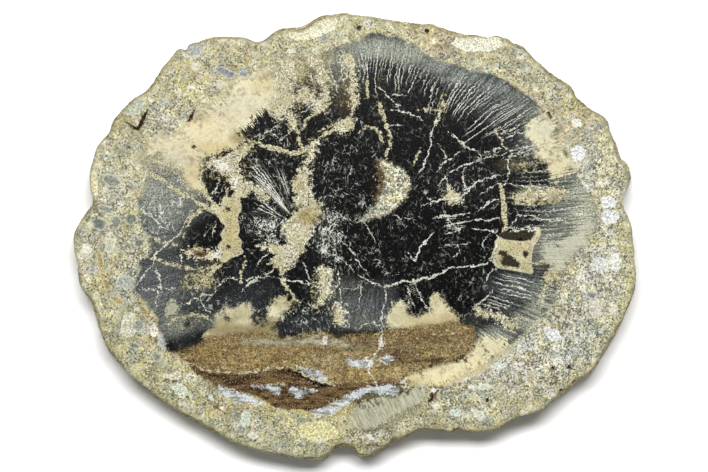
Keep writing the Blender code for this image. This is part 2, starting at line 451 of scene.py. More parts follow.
# %% [markdown]
# ## The brown lens
#
# Along the lower edge the log cracked open, and silica gel settled in the gap: gold at first, then dark
# brown, with strips of blue-white opal in it. Each colour is a region of its own, and later ones are laid
# over earlier ones.

# %% Gold, brown and opal
GOLD = (
    (
        (172, 354), (182, 352), (192, 349), (200, 344), (207, 336), (222, 333), (245, 332), (262, 331),
        (280, 337), (297, 336), (311, 333), (323, 332), (340, 335), (352, 335), (382, 333), (391, 329),
        (406, 327), (422, 325), (438, 323), (452, 321), (462, 322), (470, 326), (477, 332), (475, 344),
        (469, 352), (457, 360), (440, 365), (425, 370), (410, 375), (402, 380), (396, 386), (380, 388),
        (352, 386), (335, 384), (322, 379), (308, 372), (295, 370), (280, 369), (258, 373), (239, 375),
        (221, 374), (205, 371), (190, 365), (180, 361),
    ),
    ((377, 162), (382, 163), (386, 170), (387, 180), (384, 189), (379, 196), (375, 200), (378, 190),
     (379, 180), (377, 170)),
    ring(309, 219, 9, 7, 0.4),
)
BROWN = (
    (
        (190, 365), (205, 371), (221, 374), (239, 375), (258, 373), (275, 370), (285, 370), (297, 375),
        (308, 381), (318, 386), (330, 387), (342, 383), (352, 383), (371, 384), (387, 385), (380, 389),
        (368, 390), (357, 392), (343, 399), (331, 404), (323, 409), (310, 411), (298, 409), (287, 410),
        (272, 405), (262, 399), (246, 392), (231, 390), (214, 385), (200, 378),
    ),
    ((193, 252), (200, 251), (208, 253), (205, 256), (196, 256)),
    ((382, 357), (390, 353), (400, 352), (411, 354), (404, 360), (394, 363), (386, 362)),
)
OPAL = (
    ((297, 367), (309, 369), (318, 371), (327, 379), (325, 382), (315, 378), (304, 373)),
    ((217, 386), (224, 388), (235, 391), (245, 394), (258, 399), (265, 403), (258, 405), (245, 402),
     (237, 405), (231, 399), (225, 396), (219, 391)),
    ((251, 386), (267, 385), (281, 388), (279, 394), (272, 392), (262, 388)),
    ((287, 388), (297, 387), (306, 390), (316, 391), (303, 394), (301, 399), (293, 395)),
    ((310, 410), (323, 408), (331, 402), (343, 398), (357, 390), (368, 387), (384, 386), (392, 383),
     (400, 390), (396, 395), (384, 394), (368, 393), (357, 398), (341, 408), (331, 415), (316, 416)),
    ((344, 360), (352, 359), (362, 360), (372, 359), (373, 365), (366, 369), (357, 367), (348, 364)),
    ((381, 358), (388, 356), (395, 358), (391, 362), (383, 362)),
)
OPAL_STREAK = (
    (238, 341), (252, 338), (268, 339), (285, 339), (300, 337), (318, 337), (330, 340), (344, 342),
    (356, 345), (364, 347), (350, 348), (330, 345), (310, 345), (290, 345), (270, 346), (252, 344),
)
FIBROUS = (
    (352, 412), (358, 405), (366, 401), (382, 397), (390, 399), (399, 396), (408, 391), (419, 386),
    (427, 386), (425, 394), (420, 403), (408, 409), (396, 414), (386, 421), (374, 428), (362, 429),
    (353, 424), (348, 418),
)
BLACK_SPOTS = (
    ((280, 331), (284, 335), (284, 339), (279, 337)),
    ((334, 334), (342, 333), (342, 337), (335, 338)),
    ((499, 252), (504, 250), (508, 254), (513, 258), (519, 262), (521, 267), (513, 267), (505, 265),
     (500, 262), (502, 258)),
    ((502, 232), (510, 231), (522, 231), (535, 231), (533, 237), (527, 240), (518, 239), (509, 239),
     (503, 237)),
    ring(526, 254, 3.2, 3.4),
    ring(228, 209, 2.4, 2.6),
    ring(228, 247, 2.6, 2.8),
    ring(284, 237, 2.4, 2.0),
    ((200, 262), (207, 261), (214, 264), (207, 266), (200, 265)),
    ring(187, 324, 3.5, 3),
)
store("gold", region(*GOLD))
store("brown", region(*BROWN))
store("opal", region(*OPAL))
store("streak", region(OPAL_STREAK))
store("fibrous", region(FIBROUS))
store("spots", region(*BLACK_SPOTS))
print("drew the lens with", len(OPAL), "strips of opal")

# %% [markdown]
# ## Colours as a screen shows them
#
# Colours are easiest to judge on a screen, where they run from 0 to 255. Blender mixes amounts of light,
# and those aren't in proportion to the screen's numbers, so one helper turns a screen colour into light.

# %% From screen colours to light
def light(red, green, blue):
    """A colour as a screen shows it, 0 to 255, turned into the light values that Blender mixes."""
    screen = np.array((red, green, blue)) / 255
    return tuple(np.where(screen < 0.04045, screen / 12.92, ((screen + 0.055) / 1.055) ** 2.4))


print("middle grey is", round(float(light(128, 128, 128)[0]), 3), "of full light")

# %% [markdown]
# ## Pebbles in the sandstone
#
# Some pebbles are large enough to see one by one. Each is an egg-shaped region with a colour of its own,
# written as its place, its half width and half height, its lean if it has one, and its colour. The colour
# is stored for the points around the pebble too, because the edge is found between points. On the wall the
# pebbles narrow downwards, so that none of them runs to the back as a stripe.

# %% Pebbles and open pits
PEBBLES = (
    (193, 48, 12, 9, -0.3, 158, 160, 152), (132, 106, 12, 9, -0.5, 172, 178, 160),
    (313, 28, 26, 9, -0.32, 222, 214, 185), (478, 43, 25, 9, 0.02, 224, 220, 196),
    (519, 46, 6, 4, 0.4, 70, 78, 82), (225, 72, 12, 5, 0.35, 118, 122, 130),
    (244, 74, 5, 4, 120, 124, 130), (577, 123, 5, 5, 226, 226, 214),
    (578, 153, 8, 8, 225, 226, 222), (608, 202, 8, 6, 226, 225, 222),
    (610, 217, 9, 8, 224, 224, 220), (585, 189, 3, 9, -0.3, 228, 228, 222),
    (553, 334, 10, 6, 0.5, 228, 228, 226), (596, 308, 7, 11, 204, 196, 180),
    (591, 295, 5, 4, 104, 108, 106), (112, 181, 10, 6, 0.3, 122, 124, 112),
    (99, 224, 8, 6, 0.5, 92, 98, 98), (131, 219, 7, 6, 104, 112, 94),
    (139, 243, 6, 5, 92, 98, 76), (136, 194, 4, 4, 168, 146, 80),
    (318, 431, 20, 10, 0.05, 214, 206, 150), (245, 419, 5, 8, 0.2, 192, 204, 182),
    (253, 435, 5, 4, 224, 220, 200), (175, 376, 6, 5, 218, 208, 176),
    (180, 390, 9, 6, 0.9, 202, 208, 180), (135, 346, 5, 3.5, 0.4, 64, 70, 80),
    (211, 398, 3, 3, 178, 200, 206), (100, 260, 3.5, 12, -0.15, 156, 136, 72),
    (166, 340, 9, 9, 0.5, 168, 170, 164), (138, 325, 6, 7, 140, 146, 130),
    (129, 325, 8, 13, 0.1, 206, 204, 178), (167, 376, 5, 3, 220, 212, 182),
    (433, 391, 3, 3, 232, 232, 222), (480, 387, 12, 3, -0.05, 226, 224, 206),
    (500, 366, 10, 3, 0.1, 214, 216, 208), (506, 368, 3, 2.5, 62, 66, 78),
    (573, 352, 6, 4, 150, 156, 156), (478, 414, 9, 4, 0.6, 208, 210, 190),
    (455, 412, 6, 4, 196, 208, 196), (157, 357, 5, 6, -0.6, 128, 132, 112),
    (370, 437, 4, 3, 214, 206, 188), (600, 265, 9, 8, 214, 214, 206),
    (616, 262, 5, 9, 222, 220, 210), (152, 88, 6, 8, 0.5, 190, 184, 150),
    (94, 185, 3.5, 16, -0.05, 226, 210, 166), (563, 155, 3, 5, 178, 150, 96),
    (196, 66, 5, 4, 208, 202, 178), (163, 103, 6, 5, 164, 166, 150),
    (113, 197, 5, 4, 148, 144, 126), (105, 209, 8, 4, 0.3, 124, 128, 120),
    (116, 222, 5, 8, 0.1, 112, 120, 106), (107, 221, 4, 6, 180, 180, 138),
    (84, 232, 4, 3, 124, 130, 110), (93, 270, 4, 3, 0.2, 140, 146, 162),
    (110, 243, 5, 11, 192, 188, 162), (120, 256, 4, 5, 132, 130, 92),
    (86, 249, 6, 5, 222, 220, 204), (127, 283, 11, 7, 0.3, 160, 165, 154),
    (107, 285, 4, 7, -0.4, 154, 130, 70), (117, 300, 8, 3.5, 0.5, 160, 138, 78),
    (96, 304, 6, 8, 208, 202, 162), (147, 226, 4, 10, -0.2, 96, 100, 92),
)
PEBBLE_TAPER = 0.7
PIT_OUTLINES = [ring(column, row, 2.4, 2.1) for column, row in PITS]
PIT_OUTLINES += [
    ((147, 112), (145, 119), (142, 125), (139, 130), (134, 129), (130, 125), (134, 126), (138, 126),
     (141, 120), (144, 114)),
    ((194, 112), (192, 118), (189, 122), (188, 120), (191, 115)),
    ((432, 391), (434, 396), (431, 402), (428, 402), (430, 396)),
    ((548, 110), (552, 117), (551, 119), (547, 113)),
]
pebble_colours = np.ones((len(points), 4))
pebble_depth = np.full(len(points), -REACH)
below = (THICKNESS - heights) / MILLIMETRE
for column, row, wide, tall, *lean, red, green, blue in PEBBLES:
    depth = region(ring(column, row, wide, tall, *lean)) - PEBBLE_TAPER * below
    owned = (depth > -REACH) & (depth > pebble_depth)
    pebble_colours[owned, :3] = light(red, green, blue)
    pebble_depth[owned] = depth[owned]
store("pebble", pebble_depth)
store("pebble_colour", pebble_colours)
store("pit", np.where(heights > THICKNESS / 2, region(*PIT_OUTLINES), -REACH))
print("placed", len(PEBBLES), "pebbles and", len(PIT_OUTLINES), "pits")

# %% [markdown]
# ## Washes of colour
#
# A wash is the second kind of mark: soft clouds of colour over a ground, each laid over its neighbours in
# proportion to how near it is. A cloud is written as its column and row, its half width and half height,
# and its colour.

# %% Tools for washes
CLOUD_WEIGHT = 6
CLOUD_FALL = 1.4


def wash(ground, clouds):
    """Soft clouds over a ground value: column, row, half width, half height, then the value."""
    ground = np.atleast_1d(np.array(ground, dtype=float))
    total = np.tile(ground, (len(points), 1))
    weight = np.ones((len(points), 1))
    for column, row, wide, tall, *value in clouds:
        offset = (points - places((column, row))) / (wide * PIXEL, tall * PIXEL)
        share = CLOUD_WEIGHT * np.exp(-CLOUD_FALL * (offset**2).sum(axis=1))[:, None]
        total += share * np.array(value)
        weight += share
    return total / weight


def colour_wash(ground, clouds):
    """A wash whose values are colours as a screen shows them."""
    lit = [(*cloud[:4], *light(*cloud[4:])) for cloud in clouds]
    mixed = wash(light(*ground), lit)
    return np.column_stack((mixed, np.ones(len(mixed))))


print("a cloud outweighs the ground", CLOUD_WEIGHT, "times at its middle")

# %% [markdown]
# ## Clouds in the sandstone
#
# The sandstone has no single colour. It runs from ochre at the upper left to white and grey at the right.

# %% Clouds in the sandstone
RIM_CLOUDS = (
    (200, 75, 50, 30, 192, 176, 116), (130, 130, 22, 22, 172, 158, 108), (108, 130, 8, 12, 136, 112, 66),
    (105, 170, 20, 20, 200, 194, 162), (100, 220, 25, 20, 172, 166, 130), (88, 262, 12, 25, 202, 196, 160),
    (120, 250, 18, 20, 182, 178, 148), (103, 285, 8, 25, 168, 152, 92), (125, 285, 16, 14, 178, 180, 160),
    (95, 310, 12, 25, 200, 192, 148), (145, 305, 9, 9, 164, 142, 78), (155, 335, 10, 12, 152, 126, 72),
    (120, 345, 25, 15, 184, 174, 124), (106, 334, 7, 6, 128, 112, 84), (140, 370, 25, 18, 190, 180, 130),
    (165, 395, 25, 14, 174, 168, 122), (195, 380, 14, 14, 196, 186, 124), (215, 408, 14, 8, 196, 160, 92),
    (200, 412, 25, 12, 184, 180, 142), (245, 440, 35, 12, 186, 184, 146), (240, 408, 25, 5, 194, 174, 108),
    (300, 416, 30, 6, 206, 192, 126), (290, 450, 40, 10, 186, 186, 158), (320, 430, 25, 14, 212, 204, 150),
    (345, 420, 6, 14, 196, 180, 120), (372, 447, 16, 8, 122, 112, 76), (385, 432, 22, 8, 166, 160, 122),
    (430, 405, 18, 10, 178, 164, 108), (438, 424, 14, 6, 152, 146, 112), (470, 405, 40, 14, 198, 194, 162),
    (520, 400, 30, 14, 192, 182, 140), (500, 370, 40, 16, 206, 204, 190), (545, 350, 35, 22, 204, 202, 188),
    (580, 330, 14, 14, 184, 184, 170), (590, 280, 20, 26, 206, 204, 190), (612, 270, 8, 20, 220, 218, 206),
    (628, 260, 7, 45, 196, 186, 128), (622, 320, 10, 14, 188, 180, 124), (605, 345, 14, 16, 196, 190, 152),
    (570, 385, 20, 10, 186, 176, 132), (590, 370, 12, 8, 164, 146, 88), (568, 272, 12, 18, 196, 180, 132),
    (608, 150, 12, 20, 200, 190, 140), (590, 165, 16, 26, 206, 204, 184), (620, 190, 10, 20, 182, 178, 148),
    (592, 235, 8, 18, 184, 172, 116), (575, 105, 24, 14, 176, 156, 94), (568, 130, 12, 14, 188, 166, 112),
    (535, 80, 22, 16, 188, 176, 126), (500, 55, 25, 10, 188, 172, 112), (440, 45, 14, 12, 150, 118, 74),
    (420, 32, 25, 9, 192, 176, 114), (370, 26, 30, 9, 202, 192, 126), (300, 40, 30, 12, 202, 192, 140),
    (260, 55, 25, 14, 190, 175, 118), (265, 45, 10, 8, 166, 162, 150), (225, 48, 20, 8, 200, 188, 144),
    (180, 100, 18, 14, 196, 182, 128), (160, 125, 20, 12, 190, 184, 158), (150, 70, 12, 12, 196, 180, 130),
    (390, 190, 18, 28, 197, 189, 146), (552, 320, 14, 10, 196, 188, 148),
)
store("rim_colour", colour_wash((196, 186, 146), RIM_CLOUDS))
print("washed the sandstone with", len(RIM_CLOUDS), "clouds")

# %% [markdown]
# ## Clouds in the wood
#
# The wood runs from black in the middle to a clouded grey at its margins.

# %% Clouds in the wood
WOOD_CLOUDS = (
    (165, 200, 22, 28, 128, 130, 124), (150, 185, 10, 14, 144, 144, 134), (190, 205, 14, 14, 98, 100, 98),
    (160, 160, 16, 7, 176, 168, 142), (190, 182, 8, 14, 164, 154, 124), (176, 165, 10, 7, 168, 160, 134),
    (160, 235, 15, 15, 88, 90, 90), (158, 285, 26, 26, 88, 90, 92), (150, 303, 14, 12, 112, 112, 110),
    (195, 285, 16, 20, 62, 64, 66), (175, 325, 14, 10, 124, 125, 118), (205, 322, 12, 7, 84, 85, 84),
    (240, 308, 22, 14, 46, 48, 52), (255, 290, 20, 12, 36, 38, 42), (240, 275, 14, 10, 26, 27, 30),
    (188, 342, 11, 8, 30, 31, 32),
    (345, 300, 14, 16, 78, 80, 78), (368, 308, 18, 14, 84, 86, 88), (360, 322, 22, 6, 96, 98, 92),
    (310, 325, 28, 8, 44, 46, 50), (385, 300, 8, 16, 62, 64, 68), (350, 290, 30, 8, 52, 54, 54),
    (340, 62, 16, 12, 128, 128, 118), (376, 48, 24, 8, 150, 152, 142), (408, 54, 16, 8, 150, 152, 140),
    (436, 66, 14, 7, 124, 127, 122), (462, 76, 18, 8, 114, 118, 116), (492, 88, 18, 9, 112, 116, 116),
    (518, 103, 15, 10, 116, 120, 116), (541, 120, 12, 12, 136, 139, 132), (500, 108, 22, 12, 60, 64, 66),
    (475, 96, 22, 10, 50, 53, 55), (530, 140, 10, 12, 96, 99, 98), (515, 140, 12, 14, 40, 42, 44),
    (400, 78, 36, 10, 22, 23, 25), (450, 106, 20, 14, 16, 17, 19), (354, 84, 10, 10, 44, 44, 40),
    (515, 165, 14, 5, 70, 64, 50), (532, 177, 20, 5, 20, 24, 26), (564, 179, 10, 7, 108, 110, 104),
    (574, 190, 10, 10, 140, 142, 130), (545, 192, 18, 4, 132, 132, 108), (528, 207, 14, 6, 22, 25, 27),
    (528, 223, 18, 4, 24, 28, 30),
    (584, 212, 12, 20, 180, 178, 160), (566, 212, 12, 16, 130, 132, 126), (552, 214, 10, 12, 88, 91, 90),
    (552, 236, 12, 8, 144, 146, 137), (540, 254, 8, 12, 124, 124, 116), (520, 286, 22, 10, 84, 88, 88),
    (500, 280, 14, 10, 40, 43, 46), (545, 302, 14, 16, 140, 141, 131), (530, 320, 14, 9, 150, 150, 139),
    (497, 335, 15, 7, 134, 136, 128), (478, 320, 12, 7, 44, 46, 46), (505, 306, 14, 8, 56, 60, 62),
    (318, 60, 16, 8, 148, 140, 106), (326, 76, 9, 9, 108, 100, 74), (308, 85, 9, 10, 58, 50, 42),
    (297, 72, 10, 8, 160, 150, 116), (338, 74, 7, 14, 80, 84, 80), (345, 101, 8, 10, 64, 52, 38),
    (299, 107, 10, 6, 14, 14, 14), (328, 93, 8, 7, 64, 60, 44), (348, 84, 5, 10, 100, 94, 66),
    (320, 100, 14, 12, 34, 33, 31), (268, 113, 8, 8, 8, 8, 10), (203, 232, 17, 20, 7, 7, 9),
    (214, 185, 12, 12, 7, 8, 10), (262, 222, 16, 12, 26, 27, 28), (325, 235, 12, 40, 26, 26, 24),
    (400, 130, 40, 40, 6, 6, 7), (340, 180, 30, 30, 7, 7, 8), (420, 250, 60, 30, 6, 6, 7),
    (470, 250, 30, 30, 6, 6, 7), (460, 150, 30, 26, 7, 7, 8), (250, 180, 20, 25, 10, 10, 12),
    (300, 275, 25, 16, 9, 10, 12), (480, 185, 18, 14, 20, 20, 21), (450, 180, 14, 14, 26, 26, 27),
    (378, 182, 6, 18, 30, 20, 12), (240, 402, 50, 8, 186, 166, 112), (300, 412, 40, 9, 190, 172, 118),
    (195, 378, 18, 9, 182, 160, 108), (345, 416, 14, 14, 184, 168, 120), (390, 414, 36, 14, 160, 156, 128),
    (440, 384, 30, 7, 200, 182, 138), (365, 402, 8, 8, 96, 84, 54), (424, 392, 8, 10, 178, 172, 140),
    (475, 374, 20, 8, 196, 180, 136), (196, 352, 12, 5, 120, 100, 62),
)
store("wood_colour", colour_wash((7, 7, 8), WOOD_CLOUDS))
print("washed the wood with", len(WOOD_CLOUDS), "clouds")

# %% [markdown]
# ## Clouds in the lens and in the cream silica
#
# The gold of the lens is darker where brown shows through. The cream silica is whitest at its middle and
# tan where it meets the wood.

# %% Clouds in the lens and in the cream silica
LENS_CLOUDS = (
    (195, 352, 22, 9, 140, 116, 70), (240, 358, 35, 9, 158, 136, 86), (285, 362, 22, 6, 160, 138, 88),
    (325, 366, 25, 9, 170, 154, 112), (355, 374, 22, 7, 168, 148, 98), (250, 336, 25, 4, 132, 116, 74),
    (300, 334, 25, 4, 128, 112, 70), (345, 345, 18, 8, 150, 134, 92), (360, 338, 16, 6, 140, 120, 78),
    (400, 334, 20, 6, 136, 116, 76), (440, 332, 22, 7, 134, 115, 78), (462, 342, 12, 10, 154, 134, 92),
    (425, 348, 30, 6, 144, 125, 84), (395, 352, 14, 7, 116, 100, 72), (420, 362, 26, 4, 130, 112, 74),
    (400, 372, 26, 6, 174, 157, 112), (442, 352, 16, 5, 174, 156, 108), (376, 364, 10, 5, 168, 156, 122),
    (432, 336, 26, 6, 112, 91, 58), (398, 354, 12, 5, 92, 72, 50), (435, 361, 12, 3, 92, 70, 44),
    (360, 342, 20, 5, 108, 96, 70), (362, 372, 30, 4, 170, 142, 84), (425, 326, 25, 3, 156, 136, 84),
    (309, 219, 12, 9, 182, 170, 116), (381, 180, 8, 20, 62, 52, 32),
)
CREAM_CLOUDS = (
    (160, 148, 20, 8, 200, 186, 146), (170, 158, 16, 8, 188, 178, 148), (200, 125, 18, 12, 206, 188, 142),
    (250, 108, 22, 14, 200, 188, 152), (225, 115, 14, 8, 199, 186, 150), (270, 82, 16, 10, 196, 180, 130),
    (215, 148, 18, 6, 190, 170, 118), (194, 172, 10, 14, 188, 170, 124), (238, 138, 8, 6, 150, 130, 84),
    (241, 314, 10, 6, 160, 148, 106), (224, 322, 12, 6, 150, 138, 94), (236, 330, 30, 5, 124, 104, 60),
    (268, 328, 14, 8, 122, 104, 62), (281, 303, 7, 6, 166, 154, 112), (212, 325, 6, 8, 136, 130, 96),
    (398, 316, 10, 8, 182, 172, 130), (420, 320, 16, 5, 180, 164, 118), (438, 302, 8, 8, 190, 176, 134),
    (448, 318, 10, 6, 178, 158, 108), (440, 378, 24, 8, 216, 200, 150), (470, 366, 16, 8, 220, 204, 154),
    (494, 346, 10, 8, 208, 194, 150), (412, 382, 12, 5, 184, 166, 112), (515, 247, 16, 6, 188, 174, 124),
    (500, 262, 8, 6, 176, 164, 118), (528, 266, 6, 8, 182, 170, 124), (545, 130, 10, 8, 200, 190, 158),
    (560, 168, 10, 8, 200, 186, 142), (172, 308, 8, 9, 140, 140, 116), (231, 228, 12, 28, 186, 170, 116),
)
store("lens_colour", colour_wash((150, 128, 84), LENS_CLOUDS))
store("cream_colour", colour_wash((208, 197, 156), CREAM_CLOUDS))
print("washed the lens and the cream with", len(LENS_CLOUDS) + len(CREAM_CLOUDS), "clouds")

# %% [markdown]
# ## Washes that hold a number
#
# A wash can hold a plain number instead of a colour. These say where an edge melts into its neighbour, how
# plainly the rays of the wood show, how much of it is sprinkled with white silica or with gold, and how
# many of the sand grains are dark.

# %% How much melt, comb, frost, gilt and pepper
MELT_CLOUDS = (
    (170, 160, 36, 24, 1.3), (200, 100, 40, 20, 1.0), (275, 72, 30, 24, 1.2), (250, 118, 18, 12, 0.1),
    (240, 318, 46, 18, 1.1), (430, 312, 40, 14, 0.8), (455, 372, 50, 14, 0.7), (545, 150, 24, 30, 1.2),
    (568, 250, 30, 30, 1.1), (512, 252, 22, 22, 0.0), (300, 80, 30, 24, 1.2), (215, 260, 26, 10, 0.3),
    (300, 235, 26, 26, 0.5), (470, 336, 12, 14, 1.4), (280, 352, 60, 12, 0.1), (382, 182, 8, 20, 0.2),
    (309, 219, 10, 10, 1.0), (235, 366, 50, 8, 0.0),
)
COMBED_CLOUDS = (
    (480, 96, 60, 22, 1.0), (540, 135, 30, 25, 0.9), (565, 205, 36, 45, 1.0), (530, 290, 40, 35, 1.0),
    (390, 46, 60, 12, 0.3), (400, 85, 40, 20, 0.7), (350, 300, 30, 14, 0.7), (170, 205, 40, 40, 0.15),
    (588, 215, 10, 24, 0.1), (512, 252, 22, 22, 0.0), (172, 308, 10, 10, 0.0), (545, 150, 16, 20, 0.4),
    (160, 290, 30, 30, 0.3), (250, 115, 30, 20, 1.0), (497, 335, 20, 10, 1.0), (400, 180, 60, 50, 0.1),
)
FROST_CLOUDS = (
    (330, 240, 12, 36, 1.2), (290, 238, 24, 14, 0.9), (266, 225, 18, 10, 1.15), (268, 192, 24, 22, 0.6),
    (254, 160, 14, 18, 0.45), (224, 172, 12, 12, 0.1), (280, 134, 22, 14, 0.5), (300, 100, 20, 25, 0.4),
    (340, 140, 25, 18, 0.45),
    (330, 172, 30, 20, 0.38), (345, 200, 25, 20, 0.5), (372, 245, 42, 24, 0.5), (400, 228, 25, 15, 0.5),
    (355, 268, 30, 12, 0.4), (425, 195, 30, 20, 0.45), (445, 217, 25, 20, 0.32), (455, 188, 18, 10, 0.62),
    (470, 172, 18, 10, 0.5), (392, 142, 25, 25, 0.25), (420, 252, 30, 20, 0.2), (324, 290, 9, 20, 0.75),
    (310, 318, 30, 12, 0.62), (338, 312, 12, 10, 0.7), (365, 326, 18, 6, 0.7), (450, 290, 25, 15, 0.35),
    (470, 315, 15, 10, 0.35), (487, 250, 8, 18, 0.4), (200, 285, 12, 12, 0.55), (215, 312, 16, 8, 0.55),
    (205, 232, 15, 18, 0.05), (214, 186, 10, 10, 0.05), (270, 116, 10, 10, 0.05), (460, 140, 30, 25, 0.12),
    (345, 180, 8, 14, 0.6), (530, 205, 20, 14, 0.45), (350, 60, 40, 14, 0.3), (165, 200, 25, 30, 0.74),
    (252, 205, 9, 10, 0.0), (300, 262, 20, 20, 0.1), (280, 290, 20, 12, 0.1), (480, 120, 20, 20, 0.1),
    (400, 90, 30, 14, 0.1),
)
GILT_CLOUDS = (
    (200, 281, 16, 9, 0.9), (310, 150, 10, 20, 0.3), (290, 110, 12, 18, 0.7), (318, 82, 20, 18, 0.55),
    (300, 76, 14, 12, 0.8), (540, 198, 26, 6, 0.95), (347, 84, 8, 20, 0.5), (380, 100, 8, 30, 0.3),
    (320, 290, 8, 18, 0.65), (286, 303, 10, 8, 0.7), (241, 145, 12, 10, 0.7), (272, 104, 12, 10, 0.4),
    (528, 166, 16, 8, 0.5), (186, 322, 14, 8, 0.5), (215, 262, 12, 8, 0.6), (205, 205, 10, 8, 0.3),
    (228, 168, 20, 14, 0.75),
    (442, 104, 6, 14, 0.4), (345, 60, 14, 10, 0.4), (400, 52, 30, 8, 0.05), (560, 226, 20, 10, 0.4),
)
PEPPER_CLOUDS = (
    (540, 355, 60, 30, 0.9), (590, 290, 30, 45, 0.8), (600, 190, 26, 40, 0.7), (135, 260, 16, 30, 0.75),
    (110, 215, 25, 30, 0.6), (560, 90, 35, 20, 0.5), (170, 115, 25, 14, 0.6), (210, 70, 30, 16, 0.4),
    (380, 440, 40, 16, 0.6), (120, 350, 30, 20, 0.4), (392, 190, 18, 28, 1.3), (470, 400, 50, 14, 0.5),
    (318, 430, 26, 14, 0.0), (128, 325, 12, 16, 0.0), (595, 310, 10, 14, 0.0), (94, 185, 6, 18, 0.0),
)
store("combed", wash(0.3, COMBED_CLOUDS)[:, 0])
store("melt", wash(0.35, MELT_CLOUDS)[:, 0])
store("frost", wash(0.2, FROST_CLOUDS)[:, 0])
store("gilt", wash(0.02, GILT_CLOUDS)[:, 0])
store("pepper", wash(0.3, PEPPER_CLOUDS)[:, 0])
print("washed in", len(FROST_CLOUDS), "clouds of frost and", len(GILT_CLOUDS), "of gilt")

# %% [markdown]
# ## White cracks
#
# The wood shrank as it turned to stone, and white silica filled the cracks. They are the third kind of
# mark, lines. A line stores three numbers for each point of the slab: the distance with a side to it, the
# plain distance, and the line's half width there. The side makes the distance pass through nought between
# two points of the net, so that a hairline stays a hairline.

# %% Tools for lines
LINE_REACH = 1.6


def draw(field, width, line, taper=0.65):
    """Add one line to a field. The width is in pixels at its middle, and the ends are finer."""
    spans = np.linalg.norm(np.diff(line, axis=0), axis=1)
    travel = np.concatenate(([0], np.cumsum(spans))) / max(spans.sum(), 1e-9)
    chosen = near(line.min(axis=0), line.max(axis=0), LINE_REACH)
    spots = points[chosen]
    best = field[chosen]
    for index in range(len(spans)):
        side = line[index + 1] - line[index]
        offset = spots - line[index]
        share = np.clip(offset @ side / max(side @ side, 1e-9), 0, 1)
        gap = np.hypot(*(offset - share[:, None] * side).T)
        facing = np.sign(offset[:, 0] * side[1] - offset[:, 1] * side[0])
        along = travel[index] + share * (travel[index + 1] - travel[index])
        half = width * PIXEL / 2 * (1 - taper * np.abs(2 * along - 1) ** 3)
        closer = gap < best[:, 1]
        best[closer] = np.column_stack((facing * gap, gap, half))[closer]
    field[chosen] = best


def line_field(drawings, share_of_width=1.0):
    """A field with a list of lines drawn in it, each written as its width and its points."""
    field = np.zeros((len(points), 3))
    field[:, 1] = LINE_REACH
    for width, pixels in drawings:
        draw(field, width * share_of_width, curve(pixels))
    return field


print("lines are stored up to", LINE_REACH, "mm away")

# %% [markdown]
# ## Cracks drawn one by one
#
# The large cracks are drawn one by one, each as its width in pixels and the points it runs through.

